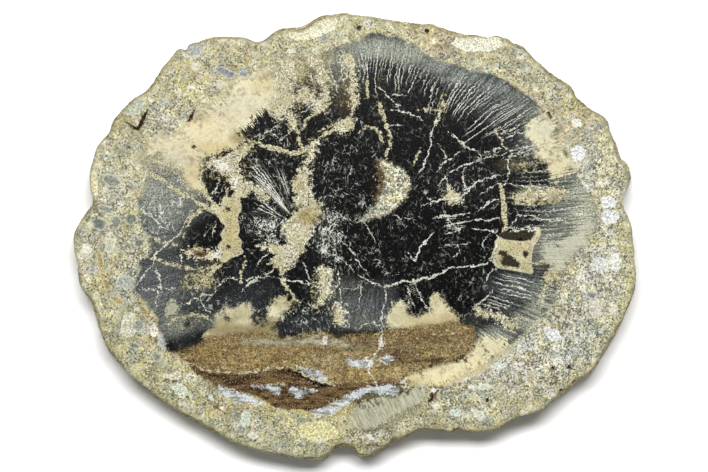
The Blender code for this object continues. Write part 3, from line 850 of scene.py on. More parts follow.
# %% Cracks drawn one by one
WHITE_CRACKS = (
    (2.0, ((195, 207), (190, 214), (185, 224), (182, 230), (176, 237), (168, 243), (160, 250), (154, 258),
           (153, 265), (147, 270), (142, 277), (137, 284))),
    (1.9, ((153, 265), (157, 272), (160, 280), (160, 288), (158, 296), (156, 304), (155, 310))),
    (1.1, ((140, 289), (152, 290), (165, 289), (177, 289))),
    (1.7, ((224, 277), (232, 278), (242, 279), (250, 279), (258, 280))),
    (1.9, ((223, 273), (224, 278), (221, 284), (216, 290), (213, 294), (206, 294), (199, 297), (193, 300),
           (187, 304), (181, 306))),
    (1.5, ((199, 297), (202, 303), (205, 309), (210, 313))),
    (1.6, ((219, 181), (217, 186), (214, 193), (209, 199))),
    (1.4, ((214, 193), (220, 192), (225, 188))),
    (1.1, ((216, 223), (214, 229), (213, 235))),
    (1.0, ((207, 226), (204, 234), (202, 240))),
    (1.2, ((180, 254), (182, 259), (182, 267))),
    (1.7, ((266, 275), (275, 277), (284, 279), (298, 282), (312, 285), (321, 289))),
    (2.0, ((279, 266), (272, 270), (267, 275), (258, 278), (252, 281), (247, 285), (243, 290))),
    (1.4, ((303, 263), (306, 270), (309, 277), (311, 285))),
    (1.5, ((267, 254), (262, 259), (258, 264))),
    (1.6, ((498, 231), (497, 240), (494, 250), (492, 259), (495, 266))),
    (1.8, ((507, 229), (516, 229), (526, 228), (536, 228), (546, 230))),
    (1.6, ((336, 266), (338, 272), (339, 280), (340, 290), (341, 300), (341, 310))),
    (1.4, ((360, 284), (361, 292), (360, 300), (359, 306))),
    (1.5, ((328, 285), (336, 286), (345, 288), (354, 289), (361, 288))),
    (2.2, ((384, 287), (385, 294), (385, 302), (383, 310), (382, 318), (383, 326), (382, 333))),
    (2.4, ((383, 326), (382, 333), (381, 340), (380, 347), (376, 353), (372, 359), (370, 365), (369, 371),
           (372, 377), (376, 383), (382, 389))),
    (1.6, ((378, 357), (383, 361), (386, 365))),
    (2.6, ((384, 287), (390, 285), (398, 283), (405, 281), (413, 281), (420, 279), (428, 278), (436, 275),
           (444, 271), (450, 268), (458, 267), (466, 266), (474, 266), (482, 264), (490, 262), (495, 261))),
    (1.7, ((384, 287), (378, 285), (372, 282), (366, 279), (359, 276))),
    (2.3, ((414, 282), (417, 288), (420, 295), (423, 301), (427, 308))),
    (1.6, ((410, 284), (408, 288), (410, 294), (411, 300), (414, 306))),
    (2.8, ((409, 254), (412, 258), (416, 260), (418, 254), (419, 248), (423, 244), (428, 240), (433, 234))),
    (2.3, ((441, 111), (437, 120), (432, 131), (431, 140), (429, 152), (424, 163), (419, 176))),
    (2.3, ((440, 183), (446, 175), (455, 170), (468, 164), (481, 159), (494, 156), (504, 154))),
    (1.8, ((503, 154), (512, 151), (520, 149), (530, 146), (538, 142))),
    (1.3, ((506, 159), (514, 156), (524, 152), (534, 150))),
    (1.7, ((447, 176), (448, 186), (452, 192), (453, 198))),
    (1.6, ((463, 168), (463, 178), (464, 186), (467, 192))),
    (2.6, ((423, 206), (430, 203), (438, 201), (449, 199), (462, 197), (470, 189), (475, 183), (486, 179),
           (496, 176), (501, 175))),
    (1.7, ((478, 211), (483, 207), (488, 203), (495, 199), (500, 199))),
    (1.8, ((482, 194), (487, 190), (492, 187), (500, 184), (510, 184), (526, 187), (551, 187))),
    (2.2, ((435, 218), (443, 216), (451, 216), (460, 215), (469, 214))),
    (2.2, ((473, 220), (484, 220), (499, 219))),
    (2.0, ((444, 227), (452, 225), (460, 223), (468, 221))),
    (1.4, ((447, 233), (455, 231), (464, 228))),
    (2.2, ((474, 229), (482, 230), (492, 231), (500, 234))),
    (1.7, ((510, 229), (511, 225), (515, 220), (518, 216))),
    (1.7, ((514, 219), (523, 215), (532, 216), (542, 219), (555, 221), (568, 222))),
    (2.3, ((511, 231), (522, 230), (532, 230), (542, 229))),
    (1.7, ((378, 87), (384, 92), (391, 100), (400, 106))),
    (1.4, ((388, 96), (396, 95), (404, 95))),
    (1.7, ((387, 110), (397, 110), (407, 113), (417, 116), (423, 120))),
    (1.4, ((389, 125), (394, 124), (400, 125))),
    (2.4, ((450, 133), (456, 138), (462, 143), (469, 148), (476, 151), (482, 158))),
    (1.4, ((437, 172), (444, 162), (454, 156), (465, 149))),
    (1.3, ((439, 145), (443, 151), (446, 158), (451, 160))),
    (1.7, ((508, 156), (508, 163), (509, 171), (507, 181))),
    (1.8, ((499, 134), (505, 131), (512, 130), (521, 124))),
    (1.8, ((503, 140), (516, 134), (530, 131))),
    (1.5, ((484, 153), (494, 150), (504, 148))),
    (1.3, ((441, 247), (450, 245), (460, 245), (468, 243))),
    (1.2, ((452, 258), (458, 253), (459, 246))),
    (1.3, ((446, 218), (452, 223), (456, 229))),
    (1.3, ((487, 237), (483, 244), (487, 250))),
    (1.4, ((485, 281), (489, 274), (494, 270), (497, 268))),
    (1.5, ((475, 306), (481, 302), (487, 297), (492, 291))),
    (1.6, ((517, 280), (519, 284), (522, 288))),
    (1.6, ((360, 328), (367, 324), (374, 323), (380, 326))),
    (1.5, ((388, 317), (392, 322), (398, 326))),
    (1.2, ((140, 208), (150, 216), (160, 225), (168, 233))),
    (1.3, ((401, 301), (406, 299), (409, 303), (407, 308))),
    (1.3, ((343, 243), (352, 250), (358, 262), (366, 270), (371, 279))),
    (1.2, ((330, 262), (338, 258), (345, 262), (352, 270))),
    (1.2, ((365, 225), (371, 232), (374, 240))),
    (1.2, ((395, 215), (404, 219), (412, 218))),
    (1.4, ((298, 116), (306, 110), (314, 105), (324, 101))),
    (1.4, ((261, 139), (268, 131), (275, 126), (281, 122))),
    (1.4, ((278, 142), (284, 137), (290, 131), (294, 125))),
    (1.3, ((268, 128), (272, 133), (276, 136))),
    (1.6, ((266, 106), (270, 112), (276, 120))),
    (1.6, ((309, 71), (312, 76), (315, 82))),
    (1.8, ((338, 62), (342, 71), (345, 84))),
    (1.2, ((330, 66), (333, 78), (338, 92))),
)
CRACK_SHARE = 0.54

store("white_lines", line_field(WHITE_CRACKS, CRACK_SHARE))
print("drew", len(WHITE_CRACKS), "white cracks")

# %% [markdown]
# ## Guides for the finer cracks
#
# Most of the finer cracks fan out from the heart of the log like spokes, bent in a long S. For those only
# some guides are drawn. Each fan says how many spokes come between two guides, how wide a spoke is in
# pixels, and then where its guides run.

# %% Guides for the finer cracks
SPOKE_FANS = (
    (1, 0.64, (
        ((340, 58), (343, 72), (345, 88)), ((350, 50), (352, 64), (352, 80)),
        ((362, 48), (365, 64), (365, 76), (364, 88)), ((369, 46), (367, 62), (367, 76), (367, 92)),
        ((376, 45), (374, 62), (372, 80), (373, 97)), ((383, 48), (380, 64), (378, 80), (381, 100)),
        ((389, 50), (386, 66), (384, 78), (386, 94)), ((396, 52), (393, 64), (390, 76), (391, 93)),
        ((404, 54), (401, 66), (399, 77), (399, 95)), ((410, 56), (407, 66), (404, 79), (402, 95)),
        ((417, 58), (412, 70), (409, 82), (407, 95)),
        ((424, 60), (421, 67), (416, 76), (411, 88), (400, 104)),
        ((432, 66), (426, 78), (421, 92), (414, 108)),
        ((441, 68), (436, 76), (429, 87), (427, 98), (424, 112)),
        ((447, 70), (441, 84), (435, 100), (430, 116)),
    )),
    (2, 0.7, (
        ((455, 70), (448, 80), (443, 92), (437, 107), (433, 120)),
        ((470, 74), (462, 84), (454, 95), (449, 106), (446, 121)),
        ((481, 78), (471, 88), (462, 100), (454, 111), (448, 122)),
        ((493, 84), (484, 92), (472, 103), (465, 110), (457, 122)),
        ((503, 90), (495, 97), (481, 107), (471, 116), (461, 130), (452, 138)),
        ((515, 97), (507, 103), (492, 110), (485, 117), (471, 129), (457, 139)),
        ((524, 102), (517, 106), (500, 115), (491, 122), (472, 136), (461, 144)),
        ((534, 102), (528, 105), (515, 113), (503, 121), (487, 131), (468, 143), (456, 151)),
        ((544, 112), (538, 114), (524, 121), (511, 129), (491, 136), (478, 142), (466, 149)),
    )),
    (3, 0.8, (
        ((255, 155), (264, 166), (272, 178), (279, 189), (286, 202), (293, 213)),
        ((248, 168), (258, 178), (268, 189), (279, 202), (290, 215)),
        ((250, 183), (261, 189), (271, 198), (281, 208), (289, 217)),
    )),
    (3, 0.7, (
        ((256, 194), (266, 201), (276, 211), (287, 218)), ((245, 212), (258, 213), (270, 216), (284, 222)),
    )),
    (2, 0.75, (
        ((273, 165), (279, 178), (285, 192), (292, 208)), ((283, 168), (287, 182), (291, 195), (295, 208)),
    )),
    (2, 0.7, (
        ((499, 272), (515, 275), (530, 279), (543, 284)), ((490, 276), (502, 280), (519, 283), (541, 291)),
        ((492, 290), (509, 294), (533, 299)), ((485, 299), (502, 304), (520, 311)),
        ((478, 307), (492, 311), (512, 319)),
    )),
    (1, 0.5, (
        ((511, 150), (524, 145), (536, 141)), ((514, 160), (530, 155), (548, 150)),
        ((512, 172), (530, 171), (554, 168)), ((512, 181), (535, 181), (572, 182)),
        ((515, 191), (540, 190), (578, 189)), ((512, 204), (540, 205), (584, 201)),
        ((513, 214), (545, 216), (586, 212)), ((514, 224), (545, 225), (588, 222)),
        ((538, 236), (558, 233), (578, 232)),
    )),
)
print("drew the guides of", len(SPOKE_FANS), "fans")

# %% [markdown]
# ## Counting spokes across a fan
#
# A sheet of points is stretched over each fan's guides. A point of the slab then stores which spoke it is
# on, counted across the guides with fractions between, and how far along it lies. The material draws a
# line wherever that count is a whole number.

# %% Spokes between the guides
STEPS_BETWEEN = 8
STEPS_ALONG = 28
FAN_MARGIN = 1.6
NUMBERS_APART = 20


def resampled(line, count):
    """The same line with a fixed number of evenly spaced points."""
    spans = np.linalg.norm(np.diff(line, axis=0), axis=1)
    travel = np.concatenate(([0], np.cumsum(spans)))
    wanted = np.linspace(0, travel[-1], count)
    return np.column_stack([np.interp(wanted, travel, line[:, axis]) for axis in (0, 1)])


fan = np.zeros((len(points), 3))
fan_depth = np.full(len(points), -REACH)
fan_width = np.zeros(len(points))
first_spoke = 0
for between, width, guides in SPOKE_FANS:
    ready = [resampled(curve(guide), STEPS_ALONG + 1) for guide in guides]
    rows = [
        first + step / STEPS_BETWEEN * (second - first)
        for first, second in zip(ready, ready[1:])
        for step in range(STEPS_BETWEEN)
    ]
    sheet = np.array(rows + [ready[-1]])
    across_way = np.gradient(sheet, axis=0)
    along_way = np.gradient(sheet, axis=1)
    outline = [guides[0][0], *[guide[0] for guide in guides[1:-1]], *guides[-1]]
    outline += [guide[-1] for guide in guides[-2:0:-1]] + list(guides[0][:0:-1])
    depth = region(outline)
    chosen = np.flatnonzero((depth > -FAN_MARGIN) & (depth > fan_depth))
    offsets = points[chosen][:, None] - sheet.reshape(-1, 2)[None]
    nearest = np.argmin((offsets**2).sum(axis=2), axis=1)
    offset = offsets[np.arange(len(chosen)), nearest]
    side = across_way.reshape(-1, 2)[nearest]
    ahead = along_way.reshape(-1, 2)[nearest]
    area = side[:, 0] * ahead[:, 1] - side[:, 1] * ahead[:, 0]
    more_across = (offset[:, 0] * ahead[:, 1] - offset[:, 1] * ahead[:, 0]) / area
    more_along = (side[:, 0] * offset[:, 1] - side[:, 1] * offset[:, 0]) / area
    spokes_per_row = (between + 1) / STEPS_BETWEEN
    fan[chosen, 0] = first_spoke + (nearest // (STEPS_ALONG + 1) + more_across) * spokes_per_row
    fan[chosen, 1] = (nearest % (STEPS_ALONG + 1) + more_along) / STEPS_ALONG
    fan[chosen, 2] = np.abs(area) / np.linalg.norm(ahead, axis=1) / spokes_per_row
    fan_depth[chosen] = depth[chosen]
    fan_width[chosen] = width * PIXEL
    first_spoke += (len(guides) - 1) * (between + 1) + NUMBERS_APART
store("fan", fan)
store("fan_depth", fan_depth)
store("fan_width", fan_width)
print("laid", len(SPOKE_FANS), "fans over", int((fan_depth > 0).sum()), "points")

# %% [markdown]
# ## Tan veins and dark seams
#
# Wider veins are filled with the same cream silica as the patches. They have a field of their own, so that
# they can cross the white ones. The last field holds the dark seams in the sandstone.

# %% Veins and seams
TAN_VEINS = (
    (6.0, ((256, 142), (268, 147), (277, 149), (286, 152), (294, 153), (302, 151), (309, 148))),
    (3.4, ((289, 112), (293, 121), (296, 130), (299, 140), (303, 150))),
    (2.4, ((301, 130), (307, 120), (314, 114), (322, 108), (330, 103))),
    (4.0, ((311, 147), (317, 140), (325, 134), (332, 131), (341, 126), (349, 125))),
    (2.4, ((320, 131), (327, 128), (334, 125), (344, 121), (352, 119))),
    (3.0, ((350, 60), (352, 75), (352, 92), (354, 104), (350, 116))),
    (2.4, ((359, 132), (364, 128), (370, 127), (376, 129), (380, 134), (383, 142))),
    (3.6, ((380, 104), (382, 114), (386, 124), (389, 134), (391, 142), (388, 150), (386, 160))),
    (2.6, ((367, 78), (367, 90), (368, 98))),
    (4.6, ((149, 172), (158, 178), (165, 182), (173, 188), (181, 193), (190, 198), (199, 203), (206, 207),
           (212, 211), (218, 215), (223, 221))),
    (3.2, ((210, 207), (201, 210), (192, 217), (187, 227), (184, 236))),
    (3.0, ((147, 257), (158, 261), (170, 264), (182, 267), (194, 269), (207, 269), (216, 266), (226, 260))),
    (2.2, ((140, 237), (151, 238), (160, 241), (170, 244), (178, 247), (187, 253))),
    (3.0, ((245, 258), (244, 266), (241, 276), (241, 282))),
    (6.4, ((501, 184), (502, 194), (504, 204), (504, 214), (505, 223), (504, 233))),
    (3.6, ((280, 267), (282, 275), (284, 283), (288, 290), (293, 296), (299, 301))),
    (2.2, ((442, 98), (443, 105), (441, 111), (437, 120), (432, 131))),
    (1.5, ((419, 110), (430, 110), (441, 111))),
    (2.6, ((169, 323), (177, 318), (186, 316), (196, 315), (204, 316), (210, 320))),
    (4.0, ((322, 266), (322, 275), (324, 284), (325, 292), (321, 299), (316, 304), (313, 309))),
    (2.4, ((494, 126), (497, 133), (501, 141), (506, 148), (510, 153))),
    (3.2, ((222, 262), (216, 268), (210, 274), (203, 281), (197, 288))),
    (2.2, ((548, 262), (540, 262), (532, 264))),
    (1.6, ((180, 361), (190, 364), (200, 368), (221, 372), (239, 373), (258, 371), (272, 368), (282, 368))),
    (2.4, ((293, 369), (303, 374), (312, 379), (322, 382), (334, 384))),
    (1.4, ((268, 386), (276, 384), (286, 384))),
    (2.0, ((345, 408), (343, 415), (342, 424), (343, 432))),
    (2.6, ((204, 170), (200, 176), (203, 186), (207, 195), (212, 203), (219, 206))),
    (2.0, ((228, 190), (226, 197), (222, 204))),
    (2.0, ((420, 150), (417, 158), (413, 166))),
)
DARK_SEAMS = (
    (1.8, ((426, 386), (438, 388), (448, 388), (458, 389), (466, 388))),
    (1.5, ((446, 381), (443, 387), (441, 393))),
    (2.0, ((496, 77), (507, 83), (519, 92), (530, 99), (540, 108), (550, 117))),
    (1.3, ((158, 381), (168, 380), (180, 382))),
    (1.4, ((376, 382), (390, 384), (400, 384), (412, 387), (425, 388))),
    (1.2, ((480, 341), (484, 348), (489, 353), (494, 357))),
    (1.2, ((485, 352), (480, 358))),
    (2.2, ((402, 362), (412, 362), (424, 361), (434, 361), (444, 358))),
    (1.6, ((460, 358), (466, 360), (470, 364))),
    (1.6, ((214, 405), (219, 408), (223, 413))),
    (2.0, ((535, 269), (543, 265), (552, 264))),
    (1.6, ((357, 400), (361, 409))), (1.6, ((362, 399), (367, 409))), (1.7, ((368, 399), (373, 408))),
    (1.7, ((374, 398), (378, 406))), (1.7, ((380, 397), (384, 404))), (1.6, ((402, 392), (405, 396))),
    (1.6, ((406, 390), (409, 394))),
    (1.4, ((354, 452), (360, 447), (372, 445), (384, 446))),
    (1.6, ((108, 118), (104, 127), (99, 136), (95, 146))),
    (1.3, ((187, 396), (190, 401))),
    (1.4, ((440, 47), (446, 52), (450, 57), (445, 60))),
    (1.2, ((245, 137), (249, 133), (253, 128))),
    (1.4, ((102, 330), (107, 335), (112, 341))),
)
VEIN_SHARE = 0.9
store("tan_lines", line_field(TAN_VEINS, VEIN_SHARE))
store("dark_lines", line_field(DARK_SEAMS))
print("drew", len(TAN_VEINS), "veins and", len(DARK_SEAMS), "seams")

# %% [markdown]
# ## The direction of the grain
#
# Wood rays run outward from the heart. In this log the heart was crushed and bent, so it is drawn as a
# short bent line, and the grain at any point runs straight away from the nearest place on it. The mesh
# keeps that nearest place and that direction. It also keeps which points are on the polished face.

# %% Grain that runs outward from the heart
HEART = ((335, 226), (376, 207), (380, 255))
FACE_MARGIN = 0.0002

spine = places(HEART)
nearest = np.tile(spine[0], (len(points), 1))
grain_gap = np.full(len(points), 1e9)
for start, end in zip(spine, spine[1:]):
    side = end - start
    share = np.clip((points - start) @ side / (side @ side), 0, 1)
    spot = start + share[:, None] * side
    gap = np.linalg.norm(points - spot, axis=1)
    closer = gap < grain_gap
    nearest[closer] = spot[closer]
    grain_gap[closer] = gap[closer]
outward = (points - nearest) / np.maximum(grain_gap, 0.01)[:, None]
store("grain_from", np.column_stack((nearest, grain_gap)))
store("grain_way", np.column_stack((outward, np.zeros(len(points)))))
polished = (heights > THICKNESS - FACE_MARGIN).astype(float)
sawn = (heights < FACE_MARGIN).astype(float)
store("polish", polished)
store("face", np.maximum(polished, sawn))
print("the grain reaches", round(grain_gap.max(), 1), "mm from the heart")

# %% [markdown]
# ## A short way to write node materials
#
# A material here is a board of several hundred nodes. Written out one by one they would hide the idea, so
# a small class gives each kind of node a one-word call. They all read object coordinates or the fields
# that the mesh stores.

# %% The board that the material is made on
RED, GREEN, BLUE = 0, 1, 2


class Board:
    """A material's nodes, with one short call for each kind that the stone needs."""

    def __init__(self, name):
        self.material = bpy.data.materials.new(name)
        self.material.use_nodes = True
        self.nodes = self.material.node_tree.nodes
        self.links = self.material.node_tree.links
        self.shader = self.nodes["Principled BSDF"]
        self.place = self.nodes.new("ShaderNodeTexCoord").outputs["Object"]

    def join(self, value, socket):
        """Link another node's output to a socket, or write a plain value there."""
        if isinstance(value, bpy.types.NodeSocket):
            self.links.new(value, socket)
        else:
            socket.default_value = value

    def node(self, kind, sockets, **settings):
        """A new node of this kind, with its settings made and its sockets filled."""
        made = self.nodes.new("ShaderNode" + kind)
        for name, value in settings.items():
            setattr(made, name, value)
        for key, value in sockets.items():
            self.join(value, made.inputs[key])
        return made

    def sum(self, operation, *values):
        """One step of arithmetic."""
        return self.node("Math", dict(enumerate(values)), operation=operation).outputs[0]

    def vector(self, operation, first, second):
        """One step of arithmetic on three numbers at once."""
        second_socket = "Scale" if operation == "SCALE" else 1
        return self.node("VectorMath", {0: first, second_socket: second}, operation=operation).outputs[0]

    def bundle(self, *values):
        """Three numbers as one vector."""
        return self.node("CombineXYZ", dict(enumerate(values))).outputs[0]

    def part(self, vector, index):
        """One of the three numbers of a vector or a colour."""
        return self.node("SeparateXYZ", {0: vector}).outputs[index]

    def field(self, name, output="Fac"):
        """What the mesh stores under this name."""
        return self.node("Attribute", {}, attribute_name=name).outputs[output]

    def speckle(self, size, detail=2.0, twist=0.0, place=None, roughness=0.55):
        """Soft noise whose features are this many millimetres across."""
        return self.node("TexNoise", {
            "Vector": self.place if place is None else place,
            "Scale": 1 / (size * (MILLIMETRE if place is None else 1)),
            "Detail": detail,
            "Roughness": roughness,
            "Distortion": twist,
        }).outputs["Fac"]

    def grains(self, size):
        """Cells like packed sand: a random colour for each, and the distance from its middle."""
        made = self.node("TexVoronoi", {"Vector": self.place, "Scale": 1 / (size * MILLIMETRE)})
        return made.outputs["Color"], made.outputs["Distance"]

    def fade(self, value, low, high, start=0.0, end=1.0):
        """A smooth step from start to end as the value goes from low to high."""
        sockets = dict(enumerate((value, low, high, start, end)))
        return self.node("MapRange", sockets, interpolation_type="SMOOTHSTEP").outputs[0]

    def mix(self, share, first, second, way="MIX"):
        """Two colours laid over each other, with this share of the second."""
        sockets = {0: share, 6: first, 7: second}
        return self.node("Mix", sockets, data_type="RGBA", blend_type=way).outputs[2]

    def choose(self, value, stops):
        """Flat colours, one for each range of the value."""
        made = self.node("ValToRGB", {0: value})
        made.color_ramp.interpolation = "CONSTANT"
        for index, (at, colour) in enumerate(stops):
            element = made.color_ramp.elements[index] if index < 2 else made.color_ramp.elements.new(at)
            element.position = at
            element.color = colour
        return made.outputs[0]


def paint(red, green, blue):
    """A screen colour as the four numbers that a colour socket takes."""
    return (*light(red, green, blue), 1.0)


print("white paint is", paint(255, 255, 255))

# %% [markdown]
# ## Noises for the whole stone
#
# Four noises, from a quarter of a millimetre to five, serve every part of the stone. They also shade each
# mineral: its colour is multiplied by a factor that follows the noise from dark to bright. The steps
# that come up again and again get short names of their own.

# %% Noises for the whole stone
board = Board("petrified_wood")
fade, mix, field, part, speckle = board.fade, board.mix, board.field, board.part, board.speckle
plus, minus, times = (partial(board.sum, step) for step in ("ADD", "SUBTRACT", "MULTIPLY"))
magnitude, larger = (partial(board.sum, step) for step in ("ABSOLUTE", "MAXIMUM"))
grit = speckle(0.5, detail=2.0)
fine_grit = speckle(0.28, detail=1.0)
ragged = speckle(1.3, detail=3.0, roughness=0.65)
cloudy = speckle(5.0, detail=3.0)


def shaded(colour, value, dark, bright, low=0.3, high=0.7):
    """A colour that gets brighter as the value goes from low to high."""
    return mix(1.0, colour, fade(value, low, high, dark, bright), "MULTIPLY")


def tinted(colour, tint):
    """A colour multiplied by another."""
    return mix(1.0, colour, tint, "MULTIPLY")


print("the board has", len(board.nodes), "nodes so far")

# %% [markdown]
# ## Sandstone
#
# Under a lens the rim is packed sand: white quartz, cream feldspar, ochre and grey-green grains about one
# millimetre across, with black specks here and there. Two layers of cells give the grains, and two larger
# ones the small stones among them. The wash gives their colour, and the pepper wash how many are dark.

# %% Packed sand
GRAIN_COLOURS = (
    (0.0, paint(104, 100, 74)), (0.1, paint(150, 142, 104)), (0.24, paint(190, 176, 124)),
    (0.44, paint(204, 198, 158)), (0.64, paint(178, 180, 156)), (0.78, paint(222, 218, 200)),
)
STONE_COLOURS = (
    (0.0, paint(120, 128, 122)), (0.1, paint(150, 156, 134)), (0.22, paint(206, 198, 176)),
    (0.38, paint(176, 158, 102)), (0.48, paint(200, 192, 146)), (0.66, paint(168, 172, 150)),
    (0.78, paint(222, 218, 204)), (0.9, paint(150, 134, 86)),
)
coarse_colour, coarse_gap = board.grains(0.8)
fine_colour = board.grains(0.4)[0]
fine_red, fine_green, fine_blue = (part(fine_colour, index) for index in (RED, GREEN, BLUE))
small_stone_colour, small_stone_gap = board.grains(2.7)
rim_wash = field("rim_colour", "Color")
sand = mix(0.14, rim_wash, board.choose(part(coarse_colour, RED), GRAIN_COLOURS))
ochre_share = fade(speckle(3.4, detail=4.0, roughness=0.62), 0.47, 0.64, 0.0, 0.6)
sand = mix(ochre_share, sand, paint(190, 182, 118))
grey_share = fade(speckle(3.8, detail=4.0, roughness=0.62, twist=0.5), 0.52, 0.64, 0.0, 0.62)
sand = mix(grey_share, sand, paint(148, 157, 141))
small_stone_edge = plus(small_stone_gap, fade(ragged, 0.2, 0.8, -0.2, 0.2))
small_stone_share = fade(small_stone_edge, 0.36, 0.44, 0.6, 0.0)
sand = mix(small_stone_share, sand, board.choose(part(small_stone_colour, RED), STONE_COLOURS))
small_stone_gaps = times(fade(small_stone_edge, 0.48, 0.6), fade(grit, 0.4, 0.6))
sand = mix(times(small_stone_gaps, 0.6), sand, paint(92, 88, 58))
stone_colour, stone_gap = board.grains(4.6)
stone_edge = plus(stone_gap, fade(ragged, 0.2, 0.8, -0.12, 0.12))
stone_size = fade(part(stone_colour, GREEN), 0.35, 1.0, 0.0, 0.46)
stone_inside = minus(stone_size, stone_edge)
stone_tint = board.choose(part(stone_colour, RED), STONE_COLOURS)
sand = mix(fade(stone_inside, -0.03, 0.03, 0.0, 0.6), sand, stone_tint)
stone_line = fade(magnitude(stone_inside), 0.01, 0.06, 0.5, 0.0)
sand = mix(times(stone_line, fade(grit, 0.4, 0.6)), sand, paint(96, 90, 58))
smooth_sand = sand
sand = shaded(sand, fine_red, 0.42, 1.38, 0.0, 1.0)
sand = shaded(sand, fine_grit, 0.7, 1.26)
smooth_share = fade(speckle(3.0, detail=3.0, roughness=0.6, twist=0.3), 0.46, 0.6, 0.0, 0.66)
sand = mix(smooth_share, sand, smooth_sand)
sand = shaded(sand, ragged, 0.84, 1.1)
sand = shaded(sand, cloudy, 0.84, 1.12, 0.32, 0.68)
pepper = field("pepper")
patch_dark = board.sum("MULTIPLY_ADD", pepper, -0.42, 0.98)
patch_light = board.sum("MULTIPLY_ADD", pepper, 0.26, 1.02)
patches = speckle(2.6, detail=2.0, roughness=0.5)
sand = shaded(sand, patches, patch_dark, patch_light, 0.36, 0.64)
quartz_share = times(fade(fine_blue, 0.7, 0.8), pepper)
sand = mix(times(quartz_share, 0.75), sand, paint(236, 235, 226))
dark_limit = board.sum("MULTIPLY_ADD", pepper, 0.16, 0.05)
dark_grain = board.sum("LESS_THAN", fine_green, dark_limit)
dark_strength = fade(fine_blue, 0.0, 1.0, 0.5, 0.95)
sand = mix(times(dark_grain, dark_strength), sand, paint(50, 52, 38))
halo = fade(plus(field("cream"), fade(cloudy, 0.3, 0.7, -0.8, 0.8)), -2.3, 0.0)
halo_paint = mix(grit, paint(182, 166, 122), paint(214, 202, 166))
sand = mix(times(halo, 0.75), sand, halo_paint)
print("mixed the sandstone")

# %% [markdown]
# ## Pebbles, weathered skin and painted shade at the edge
#
# The drawn pebbles go over the sand. Each has a speckled body, with a thin pale line inside its edge and a
# dark one outside. Towards the rim the sand is browner, where the weather reached it, and its outermost
# line is darkened with painted shade, which stands in for the shadow where the edge turns from the light.

# %% Pebbles set in the sand, the weathered skin, and painted shade along the edge
SAND_TINT = (0.93, 0.95, 0.97, 1.0)

pebble_edge = plus(field("pebble"), fade(ragged, 0.25, 0.75, -0.55, 0.55))
pebble_edge = plus(pebble_edge, fade(grit, 0.25, 0.75, -0.2, 0.2))
pebble_paint = field("pebble_colour", "Color")
pebble_paint = shaded(pebble_paint, fine_red, 0.62, 1.26, 0.0, 1.0)
pebble_paint = shaded(pebble_paint, grit, 0.62, 1.28)
sand = mix(times(fade(pebble_edge, -0.15, 0.15), 0.84), sand, pebble_paint)
pale_ring = fade(magnitude(minus(pebble_edge, 0.25)), 0.08, 0.3, 0.6, 0.0)
sand = mix(times(pale_ring, fade(ragged, 0.36, 0.5)), sand, paint(214, 213, 194))
dark_ring = fade(magnitude(plus(pebble_edge, 0.25)), 0.08, 0.3, 0.5, 0.0)
sand = mix(times(dark_ring, fade(ragged, 0.45, 0.6)), sand, paint(88, 84, 58))
bare_sand = sand
skin_depth = plus(field("skin"), fade(ragged, 0.2, 0.8, -1.0, 1.0))
skin_share = fade(skin_depth, 0.0, 2.0, 0.36, 0.0)
sand = mix(skin_share, sand, mix(grit, paint(122, 114, 68), paint(194, 186, 132)))
# Painted shade: a dark line along the rim's outermost half millimetre, standing in for the shadow where the
# edge turns from the light.
painted_edge_shade = fade(field("skin"), 0.2, 0.75, 0.55, 0.0)
painted_edge_shade = times(painted_edge_shade, fade(ragged, 0.4, 0.6, 0.3, 1.0))
sand = mix(painted_edge_shade, sand, paint(78, 72, 46))
sand = tinted(sand, SAND_TINT)
print("set the pebbles")

# %% [markdown]
# ## Black and grey wood
#
# The wash gives the body colour. Rays follow the grain: noise is read in coordinates that run across and
# along it, and the number of rays doubles each time the distance from the heart doubles, as it does in a
# real trunk. A shorter version of the same noise gives fine hairs.

# %% Rays that follow the grain
RAY_SPACING = 0.38
RAY_LENGTH = 8.0
HAIR_LENGTH = 1.1
RAY_START_GAP = 5.0

grain_from = field("grain_from", "Vector")
grain_way = field("grain_way", "Vector")
grain_far = part(grain_from, BLUE)
doublings = board.sum("LOGARITHM", board.sum("DIVIDE", grain_far, RAY_START_GAP), 2.0)
doublings = board.sum("FLOOR", plus(doublings, fade(ragged, 0.2, 0.8, -0.6, 0.6)))
crowding = times(board.sum("POWER", 2.0, doublings), RAY_START_GAP / RAY_SPACING)
ray_place = board.vector("ADD", board.vector("SCALE", grain_from, 1 / RAY_SPACING),
                         board.vector("SCALE", grain_way, crowding))
ray_place = board.bundle(part(ray_place, RED), part(ray_place, GREEN),
                         board.sum("DIVIDE", grain_far, RAY_LENGTH))
rays = speckle(1.0, detail=1.0, place=ray_place)
short_place = board.bundle(part(ray_place, RED), part(ray_place, GREEN),
                           board.sum("DIVIDE", grain_far, HAIR_LENGTH))
hairs = speckle(1.0, detail=1.0, place=short_place, twist=0.4)

wood = field("wood_colour", "Color")
combed = field("combed")
ray_dark = board.sum("MULTIPLY_ADD", combed, -0.6, 0.95)
ray_light = board.sum("MULTIPLY_ADD", combed, 0.6, 1.05)
wood = shaded(wood, rays, ray_dark, ray_light, 0.34, 0.66)
wood = shaded(wood, grit, 0.45, 1.5)
wood = shaded(wood, fine_grit, 0.6, 1.35)
print("mixed the wood's body colour")

# %% [markdown]
# ## Frost, hairlines and gilt
#
# Frost is made of short strokes that lie in a few directions. Each direction is one noise, drawn out to
# several times its width, and only its peaks show. Hairlines come from the same kind of noise read another
# way: the thin line along which it has its middle value is a long, bent, branching crack. Each entry below
# is a lean in degrees, a width and a length in millimetres.

# %% Short strokes and crazing
STROKES = ((-38, 0.22, 1.5), (24, 0.21, 1.3), (78, 0.22, 1.2))
COARSE_STROKES = ((-52, 0.5, 2.6), (-8, 0.46, 2.2), (38, 0.5, 2.4))
CRAZING = ((-30, 3.2, 9.0), (50, 2.6, 7.0), (8, 2.4, 9.0))
CRACK_LINE = 0.015
WOOD_TINT = (0.97, 1.0, 0.95, 1.0)


